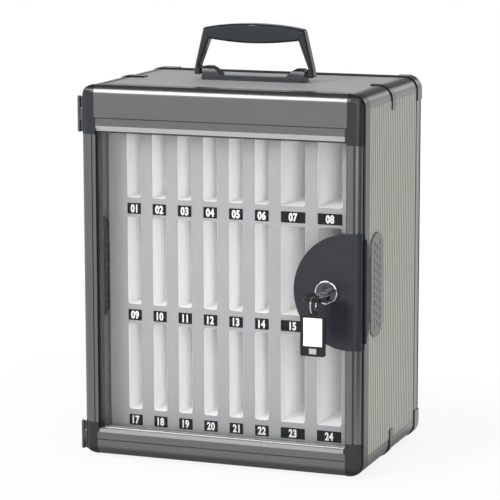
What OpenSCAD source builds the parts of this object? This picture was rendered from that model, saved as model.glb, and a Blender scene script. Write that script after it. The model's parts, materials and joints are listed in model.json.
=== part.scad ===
// Locker box for twenty-four phones: an aluminium framed cabinet with a clear, locking front door.
// Origin: middle of the footprint, on the surface that the rubber feet stand on. +Z is up, -Y is the door.

/* [Cabinet] */
// Width over the side profiles
box_w = 330; // [328:1:336]
// Depth from the door's face to the rear frame
box_d = 214; // [210:1:222]
// Height of the cabinet without its feet and handle
box_h = 420; // [418:1:430]
// Outer radius of the four long edges
corner_r = 15; // [13:0.5:16]
// Depth of the front frame behind the door
front_frame_d = 15.7; // [13:0.1:17]
// Depth of the rear frame
rear_frame_d = 18; // [14:0.5:20]
// Width of both frames' members
frame_w = 14; // [13:0.5:15]
// Height of the rubber feet below the cabinet
foot_h = 4; // [3:0.5:6]

/* [Edge profiles and panels] */
// Thickness of the profile's wall at the rounded edge
profile_t = 3; // [2.5:0.1:3.2]
// Thickness of the profile's lips over the panels' edges
lip_t = 1; // [0.8:0.1:1.2]
// Width of the profile on the top and the bottom
profile_top_w = 18; // [16:0.5:20]
// Height of the profile on the side, at the top edge
profile_side_top = 16.6; // [16:0.2:20]
// Height of the profile on the side, at the bottom edge
profile_side_bottom = 20; // [16:0.5:22]
// Number of upright ribs on each side panel
rib_count = 26; // [18:1:28]
// Height of the ribs
rib_h = 0.9; // [0.5:0.1:1]

/* [Door] */
// Thickness of the door's frame in front of the cabinet
door_t = 4.7; // [4.5:0.1:5]
// Gap between the door's frame and the cabinet
seam = 0.3; // [0.2:0.05:0.5]
// Width of the upright member on the lock's side
stile_w = 19.5; // [18:0.5:21]
// Width of the upright member on the hinges' side
hinge_stile_w = 16.8; // [15.5:0.1:19]
// Height of the top member
top_rail_h = 51.3; // [48:0.1:54]
// Height of the bottom member at the face
bottom_rail_h = 29.2; // [28:0.1:31]
// Depth of the inner leg that enters the cabinet
leg_d = 20; // [16:0.5:20.2]
// Thickness of the clear window
window_t = 3; // [2:0.1:3.2]

/* [Phone slots] */
// Width of the six narrow slots in a row
narrow_slot = 16.3; // [14:0.1:17]
// Width of the two wide slots in a row
wide_slot = 28.5; // [24:0.5:30]
// Width of the hollow dividers between the slots
divider_w = 14.3; // [12:0.1:15]
// Height of a slot
slot_h = 100.5; // [90:0.5:103]
// Distance from one row of slots to the next
row_pitch = 122.3; // [118:0.1:124]
// Height of the lowest row's floor
first_floor_z = 45.2; // [40:0.1:46]
// Depth of a slot
slot_d = 150; // [140:1:152]
// Wall thickness of the moulded insert
insert_t = 2; // [1.5:0.1:3]

/* [Handle] */
// Half the length of the handle's base
base_half = 61.4; // [58:0.2:64]
// Height of the grip's top above the cabinet
grip_top = 63.5; // [62:0.1:65]
// Depth of the grip at its middle
grip_d = 17; // [15:0.5:17.5]

/* [Lock and key] */
// Radius of the round lock cover
cover_r = 64.4; // [60:0.2:66]
// Thickness of the cover in front of the door's face
cover_t = 2.6; // [2:0.1:3]
// Radius of the lock's bright head
lock_head_r = 13; // [12:0.5:14]
// Radius of the lock's turning plug
plug_r = 8; // [7:0.5:8.5]
// Width of the key tag
tag_w = 27.7; // [24:0.1:30]
// Height of the key tag
tag_h = 43.8; // [40:0.1:46]

/* [Hidden] */

$fn = 64;
eps = 0.01;
half_w = box_w / 2;

// Cabinet
face_y = door_t + seam;
panel_y0 = face_y + front_frame_d;
panel_y1 = box_d - rear_frame_d;
back_panel_t = 3;
back_rebate_y = box_d - 8;
core_w = corner_r - 3;
core_h = corner_r - 4;
clip_t = 1.2;
clip_top_w = [34.5, 25];
clip_side_h = 26.5;
clip_bottom_h = 30.5;
middle_clip_y = [99, 111];
rear_clip_y = [box_d - 16.5, box_d];
foot_r = 8;
foot_x = 135;
foot_y = [32, 186];

// Where the box's own corner stands in the part's frame. The key ring reaches furthest forward.
hang_y = -48.5;
ring_r = 8.9;
wire_r = 0.8;
reach_y = hang_y - ring_r - wire_r;
origin_y = (reach_y + box_d) / 2;

// Door
soft_r = 13;
soft_w = 10;
window_y = 5.4;
door_right = half_w - 2.4;
open_x = [-half_w + hinge_stile_w, half_w - stile_w];
open_z0 = bottom_rail_h;
open_z1 = box_h - top_rail_h;
leg_t = 4.3;
leg_x = [-half_w + 14.4, half_w - 15.2];
leg_bottom_z = open_z0 - 3.2;
groove_fit = 0.05;
window_bite = 3;
window_bite_x = [1.5, 3];
corner_x = [-half_w + 15, half_w - 20];
corner_x_inner = [open_x[0], half_w - 22];
corner_top_z = 365;
corner_top_step_z = 384;
corner_bottom_z = 36.7;
corner_bottom_step_z = 25;
corner_proud = 0.4;

// Slots, counted from the left of the front view
slots_w = 6 * narrow_slot + 2 * wide_slot + 7 * divider_w;
insert_y = 41;
insert_back_y = insert_y + slot_d;
insert_half = 150;
back_sheet_half = half_w - profile_t - 0.5;
insert_top_z = box_h - 9;
insert_bottom_z = profile_t;
plate_h = 12.4;
plate_drop = 12.4;
function slot_w(i) = i < 6 ? narrow_slot : wide_slot;
function slot_x(i) = -slots_w / 2 + i * (narrow_slot + divider_w)
    + max(i - 6, 0) * (wide_slot - narrow_slot);
function floor_z(row) = first_floor_z + row * row_pitch;

// Hinges
barrel_r = 2;
barrel_x = -half_w - 4.1;
barrel_y = door_t + seam / 2;
hinge_pin_r = 1.1;
pin_fit = 0.05;
leaf_t = 1;
leaf_x0 = -half_w + 0.4;
leaf_x1 = -half_w + 12;
hinge_z = [4.5, 367];
hinge_len = [31.8, 39.5];
knuckle_gap = 0.15;
hinge_screw_r = 1.2;
hinge_screw_head_r = 2.2;
hinge_screw_x = -half_w + 7;

// Handle
handle_y = 111.5;
deck_z = box_h - lip_t;
bar_z = box_h + 4.7;
pivot_z = box_h + 8.4;
hump_z = box_h + 14.6;
leg_foot_x = base_half + 6.65;
pivot_pin_r = 2.5;
pivot_fit = 0.1;

// Lock
lock_x = 124.1;
lock_z = 204.5;
cover_x = 150.4;
cover_z = 205.6;
cover_wall = 2.4;
barrel_outer_r = 9.5;
head_y = [-5.2, -cover_t];
barrel_end_y = 20.5;
cam_y = [21, 23.4];
cam_len = 34.5;
plug_fit = 0.08;
cam_square = 8;
cover_side_t = 1;
guard_z = [149, 264];
guard_y1 = 22.7;
guard_t = 2;
guard_lip_x = half_w - 1;
guard_lip_y = face_y - 0.9;

// Key, its ring and its tag
blade_w = 8;
blade_t = 2.2;
slot_fit = 0.2;
blade_tip_y = 17;
bow_y = [-50, -22];
bow_w = 25;
bow_t = 5;
bow_hole_y = -42.5;
bow_hole_r = 4.4;
ring_top_z = lock_z + bow_t / 2 + wire_r + 0.2;
ring_z = ring_top_z - ring_r;
tag_hole_r = 2.2;
tag_t = 4;
tag_top_z = ring_z - ring_r - 2.9;
tag_hole_z = ring_z - ring_r + wire_r + 0.1 - tag_hole_r;

// Moves a piece from the box's own corner to the part's origin
module in_frame() {
    translate([0, -origin_y, foot_h]) children();
}

// Outline of the cabinet seen from the front, drawn inwards by inset
module outline(inset = 0) {
    r = corner_r - inset;
    translate([-half_w + corner_r, inset]) square([box_w - 2 * corner_r, box_h - 2 * inset]);
    translate([-half_w + inset, corner_r]) square([box_w - 2 * inset, box_h - 2 * corner_r]);
    for (x = [-1, 1], z = [corner_r, box_h - corner_r])
        translate([x * (half_w - corner_r), z]) circle(r);
}

// Extrudes an X-Z outline from y0 back to y1
module deep(y0, y1) {
    translate([0, y1, 0]) rotate([90, 0, 0]) linear_extrude(y1 - y0) children();
}

// A box given by its two corners
module block(a, b) {
    translate(a) cube(b - a);
}

module rod_y(x, z, r, y0, y1) {
    translate([x, y1, z]) rotate([90, 0, 0]) cylinder(r = r, h = y1 - y0);
}

module rod_x(y, z, r, x0, x1) {
    translate([x0, y, z]) rotate([0, 90, 0]) cylinder(r = r, h = x1 - x0);
}

// Countersunk screw along Y: its flat head is at y, and its shank goes dir * length further
module flat_screw(x, z, y, dir, length, r, head_r, grow = 0) {
    translate([x, y, z]) rotate([-90 * dir, 0, 0]) {
        cylinder(r1 = head_r + grow, r2 = r + grow, h = leaf_t);
        cylinder(r = r + grow, h = length + grow);
    }
}

// ---------- Cabinet frame and panels ----------

module ring_2d(w) {
    difference() {
        outline();
        translate([-half_w + w, w + 2]) square([box_w - 2 * w, box_h - 2 * w - 4]);
    }
}

module front_frame() {
    color("#6b6b68") in_frame() difference() {
        deep(face_y, panel_y0) ring_2d(frame_w);
        for (i = [0, 1]) leaf_seat(i, face_y, face_y + leaf_t);
        body_hinge_screws(0.02);
    }
}

module rear_frame() {
    color("#353537") in_frame() {
        deep(panel_y1, back_rebate_y) ring_2d(frame_w - 6);
        deep(back_rebate_y, box_d) ring_2d(frame_w);
    }
}

module back_panel() {
    inset = frame_w - 6 + 0.1;
    color("#4a4b4d") in_frame()
        block([-half_w + inset, back_rebate_y - back_panel_t, inset + 2],
              [half_w - inset, back_rebate_y, box_h - inset - 2]);
}

// One rounded edge profile. sx and top say which of the four edges it runs along.
module edge_2d(sx, top) {
    side_h = top ? profile_side_top : profile_side_bottom;
    z0 = top ? box_h - side_h : 0;
    core_z0 = top ? box_h - core_h : 0;
    intersection() {
        difference() {
            outline();
            outline(lip_t);
        }
        translate([sx > 0 ? half_w - profile_top_w : -half_w, z0]) square([profile_top_w, side_h]);
    }
    intersection() {
        difference() {
            outline();
            outline(profile_t);
        }
        translate([sx > 0 ? half_w - core_w : -half_w, core_z0]) square([core_w, core_h]);
    }
}

module edge_profile(sx, top) {
    color("#7c7d7d") in_frame() deep(panel_y0, panel_y1) edge_2d(sx, top);
}

module edge_top_left() { edge_profile(-1, true); }
module edge_top_right() { edge_profile(1, true); }
module edge_bottom_left() { edge_profile(-1, false); }
module edge_bottom_right() { edge_profile(1, false); }

// Outline of a vent seen from the side: straight flanks and shallow arched ends
vent_c = [44.25, 207.45];
vent_size = [42.5, 115.7];
vent_end_r = 26;
module vent_2d(inset = 0) {
    w = vent_size[0] - 2 * inset;
    h = vent_size[1] - 2 * inset;
    r = vent_end_r - inset;
    translate(vent_c) intersection() {
        square([w, h], center = true);
        union() {
            square([w, vent_size[1] - 22], center = true);
            for (s = [-1, 1]) translate([0, s * (h / 2 - r)]) circle(r);
        }
    }
}

// Extrudes a Y-Z outline from x0 to x1
module across(x0, x1) {
    translate([x0, 0, 0]) rotate([90, 0, 90]) linear_extrude(x1 - x0) children();
}

// Side panel on the right: a flat skin whose edges slip under the profiles' lips, with upright ribs
module side_panel() {
    pitch = (panel_y1 - panel_y0) / rib_count;
    rib_w = pitch * 0.62;
    x0 = half_w - profile_t;
    x1 = half_w - lip_t;
    rib_z0 = profile_side_bottom + 0.1;
    rib_z1 = box_h - profile_side_top - 0.1;
    difference() {
        union() {
            intersection() {
                block([x0, panel_y0 + 0.05, core_h + 0.1],
                      [x1, panel_y1 - 0.05, box_h - core_h - 0.1]);
                deep(panel_y0, panel_y1) outline(lip_t);
            }
            for (i = [0:rib_count - 1])
                translate([x1, panel_y0 + (i + 0.5) * pitch, rib_z0])
                    linear_extrude(rib_z1 - rib_z0)
                        polygon([[-eps, -rib_w / 2], [rib_h, -rib_w / 2 + 0.8],
                                 [rib_h, rib_w / 2 - 0.8], [-eps, rib_w / 2]]);
        }
        across(x0 - 1, half_w) vent_2d(2.95);
    }
}

module left_side_panel() { color("#8b8b86") in_frame() mirror([1, 0, 0]) side_panel(); }
module right_side_panel() { color("#8b8b86") in_frame() side_panel(); }

module deck_panel(z0, z1) {
    intersection() {
        block([-half_w + core_w + 0.1, panel_y0 + 0.05, z0],
              [half_w - core_w - 0.1, panel_y1 - 0.05, z1]);
        deep(panel_y0, panel_y1) outline(lip_t);
    }
}

module top_panel() {
    color("#97989c") in_frame() difference() {
        deck_panel(box_h - profile_t - 1, deck_z);
        for (s = [-1, 1]) translate([s * 45, handle_y, deck_z - 10]) cylinder(r = 2.2, h = 20);
    }
}

module bottom_panel() {
    color("#6e6f72") in_frame() difference() {
        deck_panel(lip_t, profile_t);
        for (x = [-1, 1], y = foot_y) translate([x * foot_x, y, -5]) cylinder(r = 1.8, h = 20);
    }
}

// Plastic clip round a long edge, proud of the profile
module clip_2d(sx, top) {
    w = sx > 0 ? clip_top_w[1] : clip_top_w[0];
    h = top ? clip_side_h : clip_bottom_h;
    z0 = top ? box_h - h : -clip_t;
    foot_z = top ? deck_z : 0;
    intersection() {
        difference() {
            outline(-clip_t);
            outline();
        }
        translate([sx > 0 ? half_w - w : -half_w - clip_t, z0]) square([w + clip_t, h + clip_t]);
    }
    translate([sx > 0 ? half_w - w : -half_w + profile_top_w, foot_z])
        square([w - profile_top_w, lip_t]);
}

module clip_set(y) {
    for (sx = [-1, 1], top = [true, false]) deep(y[0], y[1]) clip_2d(sx, top);
}

module middle_clips() { color("#3a3f45") in_frame() clip_set(middle_clip_y); }

module rear_clips() {
    color("#3a3f45") in_frame() difference() {
        clip_set(rear_clip_y);
        deep(panel_y1, box_d + 1) outline();
    }
}

// Vent: a plate on the ribs, a plug in the panel's opening and a plate inside, pierced by three columns
vent_plate_t = 1.6;
vent_inner_t = 2;
vent_hole = [3.2, 6.6];
vent_pitch = 9.3;
vent_columns = [-9.6, 0, 9.6];
module vent() {
    x_in = half_w - profile_t;
    difference() {
        union() {
            across(half_w, half_w + vent_plate_t) vent_2d();
            across(x_in - eps, half_w + eps) vent_2d(3);
            across(x_in - vent_inner_t, x_in) vent_2d();
        }
        across(x_in, half_w - 1.5) vent_2d(5);
        for (c = [0:2], i = [0:(c == 1 ? 9 : 10)])
            translate([x_in - vent_inner_t - 1, vent_c[0] + vent_columns[c],
                       vent_c[1] + (i - (c == 1 ? 4.5 : 5)) * vent_pitch])
                rotate([90, 0, 90]) linear_extrude(10) {
                    square([vent_hole[0], vent_hole[1] - vent_hole[0]], center = true);
                    for (s = [-1, 1])
                        translate([0, s * (vent_hole[1] - vent_hole[0]) / 2])
                            circle(vent_hole[0] / 2, $fn = 24);
                }
    }
}

module left_vent() { color("#77787a") in_frame() mirror([1, 0, 0]) vent(); }
module right_vent() { color("#77787a") in_frame() vent(); }

module feet() {
    color("#222224") in_frame() for (x = [-1, 1], y = foot_y)
        translate([x * foot_x, y, -foot_h]) difference() {
            cylinder(r1 = foot_r - 1, r2 = foot_r, h = foot_h + lip_t);
            translate([0, 0, -1]) cylinder(r = 4, h = 3);
            cylinder(r = 1.8, h = foot_h + 2);
        }
}

module foot_screws() {
    color("#b8babc") in_frame() for (x = [-1, 1], y = foot_y)
        translate([x * foot_x, y, 2 - foot_h]) {
            translate([0, 0, -1.6]) cylinder(r = 3.4, h = 1.6);
            cylinder(r = 1.7, h = foot_h + 0.9);
        }
}

// ---------- Insert with the phone slots ----------

module insert_back() {
    color("#d6d7d9") in_frame() intersection() {
        block([-back_sheet_half, insert_back_y, insert_bottom_z],
              [back_sheet_half, insert_back_y + insert_t, insert_top_z]);
        deep(insert_back_y - 1, insert_back_y + insert_t + 1) outline(profile_t + 0.3);
    }
}

// Moulded rail with a closed front and open back, from z0 up to z1
module rail(z0, z1) {
    difference() {
        block([-insert_half, insert_y, z0], [insert_half, insert_back_y, z1]);
        block([-insert_half + insert_t, insert_y + insert_t, z0 + insert_t],
              [insert_half - insert_t, insert_back_y + 1, z1 - insert_t]);
    }
}

module insert_top_rail() {
    color("#e2e3e5") in_frame() rail(floor_z(2) + slot_h, insert_top_z);
}

module number_rail(row) {
    z0 = row == 0 ? insert_bottom_z : floor_z(row - 1) + slot_h;
    color("#e2e3e5") in_frame() rail(z0, floor_z(row));
}

module number_rail_top() { number_rail(2); }
module number_rail_middle() { number_rail(1); }
module number_rail_bottom() { number_rail(0); }

// Hollow divider with rounded front edges, open at the back
module divider(x0, x1, row) {
    r = 2;
    translate([0, 0, floor_z(row)]) linear_extrude(slot_h) difference() {
        union() {
            translate([x0 + r, insert_y]) square([x1 - x0 - 2 * r, slot_d]);
            translate([x0, insert_y + r]) square([x1 - x0, slot_d - r]);
            for (x = [x0 + r, x1 - r]) translate([x, insert_y + r]) circle(r, $fn = 24);
        }
        translate([x0 + insert_t, insert_y + insert_t])
            square([x1 - x0 - 2 * insert_t, slot_d]);
    }
}

module dividers(row) {
    color("#e6e6ea") in_frame() for (i = [0:8]) {
        x0 = i == 0 ? -insert_half : slot_x(i - 1) + slot_w(i - 1);
        x1 = i == 8 ? insert_half : slot_x(i);
        divider(x0, x1, row);
    }
}

module dividers_top() { dividers(2); }
module dividers_middle() { dividers(1); }
module dividers_bottom() { dividers(0); }

module number_plates() {
    color("#151516") in_frame() for (row = [0:2], i = [0:7])
        block([slot_x(i), insert_y - 0.5, floor_z(row) - plate_drop - plate_h / 2],
              [slot_x(i) + slot_w(i), insert_y, floor_z(row) - plate_drop + plate_h / 2]);
}

// ---------- Carrying handle ----------

// Half of the base seen from the front: a low bar that rises to a rounded hump at its end
module base_side_2d() {
    polygon([[-eps, deck_z], [base_half, deck_z], [base_half, hump_z - 2.2],
             [base_half - 1.2, hump_z - 0.7], [base_half - 3.5, hump_z], [base_half - 10.5, hump_z],
             [base_half - 14, hump_z - 2.2], [base_half - 19.5, hump_z - 6.7],
             [base_half - 22.5, bar_z], [-eps, bar_z]]);
}

// The base seen from its end: upright flanks with eased edges under a rounded hump
module base_end_2d() {
    flank = [[8.5, deck_z], [8.5, bar_z - 0.7], [7.8, bar_z], [7.5, pivot_z + 0.8],
             [6.5, hump_z - 2.2], [4.8, hump_z - 0.5], [3.4, hump_z + 0.5]];
    polygon(concat(flank, [for (i = [len(flank) - 1:-1:0]) [-flank[i][0], flank[i][1]]]));
}

module base_half_solid() {
    intersection() {
        deep(handle_y - 9, handle_y + 9) base_side_2d();
        translate([0, handle_y, 0]) across(-1, base_half + 1) base_end_2d();
    }
}

module handle_base() {
    color("#3a3f45") in_frame() difference() {
        for (m = [0, 1]) mirror([m, 0, 0]) base_half_solid();
        for (s = [-1, 1]) {
            rod_x(handle_y, pivot_z, pivot_pin_r, s > 0 ? base_half - 11 : -base_half - 1,
                  s > 0 ? base_half + 1 : -base_half + 11);
            translate([s * 45, handle_y, deck_z - 1]) cylinder(r = 1.9, h = 9);
        }
    }
}

module handle_pins() {
    color("#c4c6c8") in_frame() for (m = [0, 1]) mirror([m, 0, 0])
        rod_x(handle_y, pivot_z, pivot_pin_r, base_half - 11, leg_foot_x + 1.6);
}

module handle_screws() {
    color("#b8babc") in_frame() for (s = [-1, 1]) translate([s * 45, handle_y, 0]) {
        translate([0, 0, box_h - profile_t - 3]) cylinder(r = 3.6, h = 2);
        translate([0, 0, box_h - profile_t - 1 - eps]) cylinder(r = 1.85, h = 10);
    }
}

// Round pad across the grip, with its rims eased
module pad(x, z, r, depth) {
    ease = 2;
    rod_y(x, z, r - ease, handle_y - depth / 2, handle_y + depth / 2, $fn = 32);
    rod_y(x, z, r, handle_y - depth / 2 + ease, handle_y + depth / 2 - ease, $fn = 32);
}

// Outline of the grip's bar as discs from its middle to its shoulder: x, drop of the centre, radius
grip_bar = [[0, 0, 11], [14, 0, 10.7], [28, 0, 9.85], [42, 0, 8.4], [50.5, 0.2, 7.2]];
shoulder = [57.2, -2.3, 3.6];
module handle_grip() {
    bar_mid = box_h + grip_top - 11;
    color("#3a3f45") in_frame() difference() {
        union() {
            hull() for (m = [0, 1]) mirror([m, 0, 0]) {
                for (d = grip_bar) pad(d[0], bar_mid - d[1], d[2], grip_d - 0.05 * d[0]);
                pad(shoulder[0], bar_mid - shoulder[1], shoulder[2], 13);
            }
            for (m = [0, 1]) mirror([m, 0, 0]) {
                hull() {
                    pad(shoulder[0], bar_mid - shoulder[1], shoulder[2], 13);
                    pad(57.6, bar_mid - 6, 4.4, 13);
                    pad(leg_foot_x, box_h + 14, 2.55, 13);
                }
                hull() {
                    pad(leg_foot_x, box_h + 14, 2.55, 13);
                    pad(leg_foot_x + 1.5, box_h + 6.8, 2.2, 13);
                    pad(leg_foot_x - 2.8, box_h + 6.6, 2.1, 13);
                    pad(leg_foot_x - 2.6, box_h + 11.5, 2.2, 13);
                }
            }
        }
        for (m = [0, 1]) mirror([m, 0, 0])
            rod_x(handle_y, pivot_z, pivot_pin_r + pivot_fit, 50, leg_foot_x + 1.8);
    }
}

// ---------- Door ----------

// Outline of the door seen from the front
module door_outline(grow = 0) {
    r = corner_r + grow;
    w = half_w + door_right;
    translate([-half_w + corner_r, -grow]) square([w - 2 * corner_r, box_h + 2 * grow]);
    translate([-half_w - grow, corner_r]) square([w + 2 * grow, box_h - 2 * corner_r]);
    for (x = [-half_w + corner_r, door_right - corner_r], z = [corner_r, box_h - corner_r])
        translate([x, z]) circle(r);
}

// Flat slab with softly rounded front edges. proud makes it stand out on every side.
module door_blank(proud = 0, back = door_t) {
    r = soft_r + proud;
    intersection() {
        deep(-proud, back) door_outline(proud);
        translate([0, 0, -proud - 1]) linear_extrude(box_h + 2 * proud + 2) {
            translate([-half_w + soft_w, -proud]) square([box_w - 2 * soft_w, back + proud]);
            for (s = [-1, 1]) intersection() {
                translate([s * (half_w - soft_w), soft_r]) circle(r, $fn = 180);
                translate([s > 0 ? half_w - soft_w - 1 : -half_w - 5, -proud - 1])
                    square([soft_w + 6, back + proud + 1]);
            }
        }
        across(-half_w - 5, half_w + 5) {
            translate([-proud, soft_w]) square([back + proud, box_h - 2 * soft_w]);
            for (z = [soft_w, box_h - soft_w]) intersection() {
                translate([soft_r, z]) circle(r, $fn = 180);
                translate([-proud - 1, z < box_h / 2 ? -5 : z - 1])
                    square([back + proud + 1, soft_w + 6]);
            }
        }
    }
}

// Region that a corner piece covers, seen from the front. Both legs step in beside the window.
module corner_2d(sx, top, gap = 0) {
    w = half_w + 5;
    outer = sx > 0 ? corner_x[1] - gap : corner_x[0] + gap;
    inner = sx > 0 ? corner_x_inner[1] - gap : corner_x_inner[0] + gap;
    z0 = top ? corner_top_z - gap : -5;
    z1 = top ? box_h + 5 : corner_bottom_z + gap;
    step0 = top ? z0 : corner_bottom_step_z - gap;
    step1 = top ? corner_top_step_z + gap : z1;
    translate([sx > 0 ? outer : -w, z0]) square([w - sx * outer, z1 - z0]);
    translate([sx > 0 ? inner : -w, step0]) square([w - sx * inner, step1 - step0]);
}

module all_corners(gap) {
    for (sx = [-1, 1], top = [true, false])
        deep(-2, leg_d + 1) corner_2d(sx, top, gap);
}

// Groove that the window's edge slides into
module window_groove() {
    g = groove_fit;
    block([open_x[0] - window_bite_x[0] - g, window_y - g, open_z0 - window_bite + 1 - g],
          [open_x[1] + window_bite_x[1] + g, window_y + window_t + g, open_z1 + window_bite + g]);
}

// Section of the top member: bevelled lower edge, a fine step above it and the inner leg
module door_top_rail() {
    color("#7f7f7f") in_frame() difference() {
        union() {
            intersection() {
                door_blank();
                block([-half_w, -1, open_z1], [half_w, door_t, box_h]);
            }
            block([corner_x[0], door_t - eps, open_z1], [corner_x[1], leg_d, open_z1 + leg_t]);
        }
        across(-half_w, half_w)
            polygon([[-1, open_z1 - 1], [3.2, open_z1 - 1], [3.2, open_z1], [0, open_z1 + 5.8],
                     [-1, open_z1 + 5.8]]);
        across(-half_w, half_w) translate([-1, open_z1 + 14]) square([1.7, 1.2]);
        window_groove();
        all_corners(0.02);
    }
}

module door_bottom_rail() {
    color("#7f7f7f") in_frame() difference() {
        union() {
            intersection() {
                door_blank();
                block([-half_w, -1, 0], [half_w, door_t, open_z0]);
            }
            across(corner_x[0], corner_x[1])
                polygon([[door_t - eps, leg_bottom_z], [leg_d, leg_bottom_z], [leg_d, open_z0 + 0.9],
                         [17.4, open_z0 + 0.9], [17.1, open_z0 - 0.2], [13.6, open_z0 - 0.2],
                         [12.8, open_z0 + 0.6], [9.2, open_z0 + 0.6], [8.9, open_z0 - 0.2],
                         [door_t - eps, open_z0 - 0.2]]);
        }
        across(-half_w, half_w)
            polygon([[-1, open_z0 + 1], [3.2, open_z0 + 1], [3.2, open_z0], [0, open_z0 - 3.6],
                     [-1, open_z0 - 3.6]]);
        across(-half_w, half_w) translate([-1, 16.5]) square([1.7, 1.2]);
        window_groove();
        all_corners(0.02);
    }
}

// Upright member: flat land, groove, and the soft outer edge
module stile(sx) {
    side = sx > 0 ? 1 : 0;
    x0 = sx > 0 ? open_x[side] : -half_w - 1;
    x1 = sx > 0 ? half_w + 1 : open_x[side];
    leg_x0 = min(open_x[side], leg_x[side]);
    groove_x0 = sx > 0 ? half_w - 12.4 : -half_w + 11.8;
    groove_w = sx > 0 ? 2.4 : 1.3;
    z0 = corner_bottom_z + 0.02;
    z1 = corner_top_z - 0.02;
    color("#7a7a79") in_frame() difference() {
        union() {
            intersection() {
                door_blank();
                block([x0, -1, z0], [x1, door_t, z1]);
            }
            block([leg_x0, door_t - eps, z0], [max(open_x[side], leg_x[side]), leg_d, z1]);
        }
        block([groove_x0, -1, -1], [groove_x0 + groove_w, 0.8, box_h + 1]);
        window_groove();
    }
}

module door_left_stile() { stile(-1); }
module door_right_stile() { stile(1); }

// Plastic corner piece, a little proud of the members that it joins
module door_corner(sx, top) {
    side = sx > 0 ? 1 : 0;
    leg_z0 = top ? corner_top_z : leg_bottom_z;
    leg_z1 = top ? open_z1 + leg_t : corner_bottom_z;
    leg_x0 = min(corner_x_inner[side], leg_x[side]);
    leg_x1 = max(corner_x_inner[side], leg_x[side]);
    color("#3d4147") in_frame() difference() {
        union() {
            intersection() {
                door_blank(corner_proud);
                deep(-2, leg_d) corner_2d(sx, top);
            }
            intersection() {
                block([leg_x0, door_t - eps, leg_z0], [leg_x1, leg_d, leg_z1]);
                deep(0, leg_d) corner_2d(sx, top);
            }
        }
        if (sx > 0) {
            block([0, -2, open_z0 + 2], [open_x[1], leg_d + 1, open_z1]);
            block([0, window_y + 3.2, open_z0 + 1], [open_x[1], leg_d + 1, open_z1]);
        }
        window_groove();
        if (sx < 0) {
            leaf_seat(top ? 1 : 0, door_t - leaf_t, door_t);
            door_hinge_screws(0.02);
        }
    }
}

module door_corner_top_left() { door_corner(-1, true); }
module door_corner_top_right() { door_corner(1, true); }
module door_corner_bottom_left() { door_corner(-1, false); }
module door_corner_bottom_right() { door_corner(1, false); }

module window() {
    play = 0.2;
    color("#dfe6e8", 0.35) in_frame() difference() {
        block([open_x[0] - window_bite_x[0] + play, window_y, open_z0 - window_bite + play + 1],
              [open_x[1] + window_bite_x[1] - play, window_y + window_t,
               open_z1 + window_bite - play]);
        rod_y(lock_x, lock_z, barrel_outer_r + 0.3, window_y - 1, window_y + window_t + 1);
    }
}

// Sealing strip down both sides of the window and along its top
module window_gasket() {
    lip = 1.8;
    z0 = open_z0 + 2;
    color("#1c1c1e") in_frame() deep(window_y - 2, window_y) difference() {
        translate([open_x[0], z0]) square([open_x[1] - open_x[0], open_z1 - z0]);
        translate([open_x[0] + lip, z0 - 1])
            square([open_x[1] - open_x[0] - 2 * lip, open_z1 - z0 - lip + 1]);
        cover_2d(-0.1);
    }
}

// ---------- Hinges ----------

function knuckle_z(i, part) = hinge_z[i] + part * hinge_len[i] / 3;

// Recess for a hinge leaf, a hair larger than the leaf
module leaf_seat(i, y0, y1) {
    block([-half_w - 1, y0 - (y0 < face_y - eps ? 0 : 1), hinge_z[i] - 0.1],
          [leaf_x1 + 0.1, y1 + (y0 < face_y - eps ? 1 : 0), hinge_z[i] + hinge_len[i] + 0.1]);
}

// One leaf with the knuckles numbered in parts, counted from below
module leaf(i, y0, parts) {
    difference() {
        union() {
            block([leaf_x0, y0, hinge_z[i]], [leaf_x1, y0 + leaf_t, hinge_z[i] + hinge_len[i]]);
            for (p = parts) {
                z0 = knuckle_z(i, p) + knuckle_gap;
                h = hinge_len[i] / 3 - 2 * knuckle_gap;
                translate([barrel_x, barrel_y, z0]) cylinder(r = barrel_r, h = h);
                block([barrel_x, y0, z0], [leaf_x0 + eps, y0 + leaf_t, z0 + h]);
            }
        }
        translate([barrel_x, barrel_y, hinge_z[i] - 1])
            cylinder(r = hinge_pin_r + pin_fit, h = hinge_len[i] + 2);
    }
}

module body_hinge_screws(grow = 0) {
    for (i = [0, 1], part = [0.5, 2.5])
        flat_screw(hinge_screw_x, knuckle_z(i, part), face_y, 1, 9,
                   hinge_screw_r, hinge_screw_head_r, grow);
}

module door_hinge_screws(grow = 0) {
    for (i = [0, 1], part = [1, 2])
        flat_screw(hinge_screw_x, knuckle_z(i, part), door_t, -1, 3.6,
                   hinge_screw_r, hinge_screw_head_r, grow);
}

module hinge_leaves_body() {
    color("#6a6c6f") in_frame() difference() {
        for (i = [0, 1]) leaf(i, face_y, [0, 2]);
        body_hinge_screws(0.02);
    }
}

module hinge_leaves_door() {
    color("#6a6c6f") in_frame() difference() {
        for (i = [0, 1]) leaf(i, door_t - leaf_t, [1]);
        door_hinge_screws(0.02);
    }
}

module hinge_screws_body() { color("#b8babc") in_frame() body_hinge_screws(); }
module hinge_screws_door() { color("#b8babc") in_frame() door_hinge_screws(); }

module hinge_pins() {
    color("#b0b2b5") in_frame() for (i = [0, 1]) translate([barrel_x, barrel_y, hinge_z[i]]) {
        translate([0, 0, -0.8]) cylinder(r = hinge_pin_r, h = hinge_len[i] + 1.2);
        translate([0, 0, hinge_len[i] - knuckle_gap]) cylinder(r = 1.7, h = 1);
    }
}

// ---------- Lock ----------

// The round cover, carried straight across the stile
module cover_2d(inset = 0) {
    r = cover_r - inset;
    flat = r - 0.5;
    intersection() {
        union() {
            translate([cover_x, cover_z]) circle(r, $fn = 180);
            translate([cover_x, cover_z - flat]) square([cover_r, 2 * flat]);
        }
        translate([cover_x - cover_r - 1, 0]) square([half_w + 4 - cover_x + cover_r, box_h]);
    }
}

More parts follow.
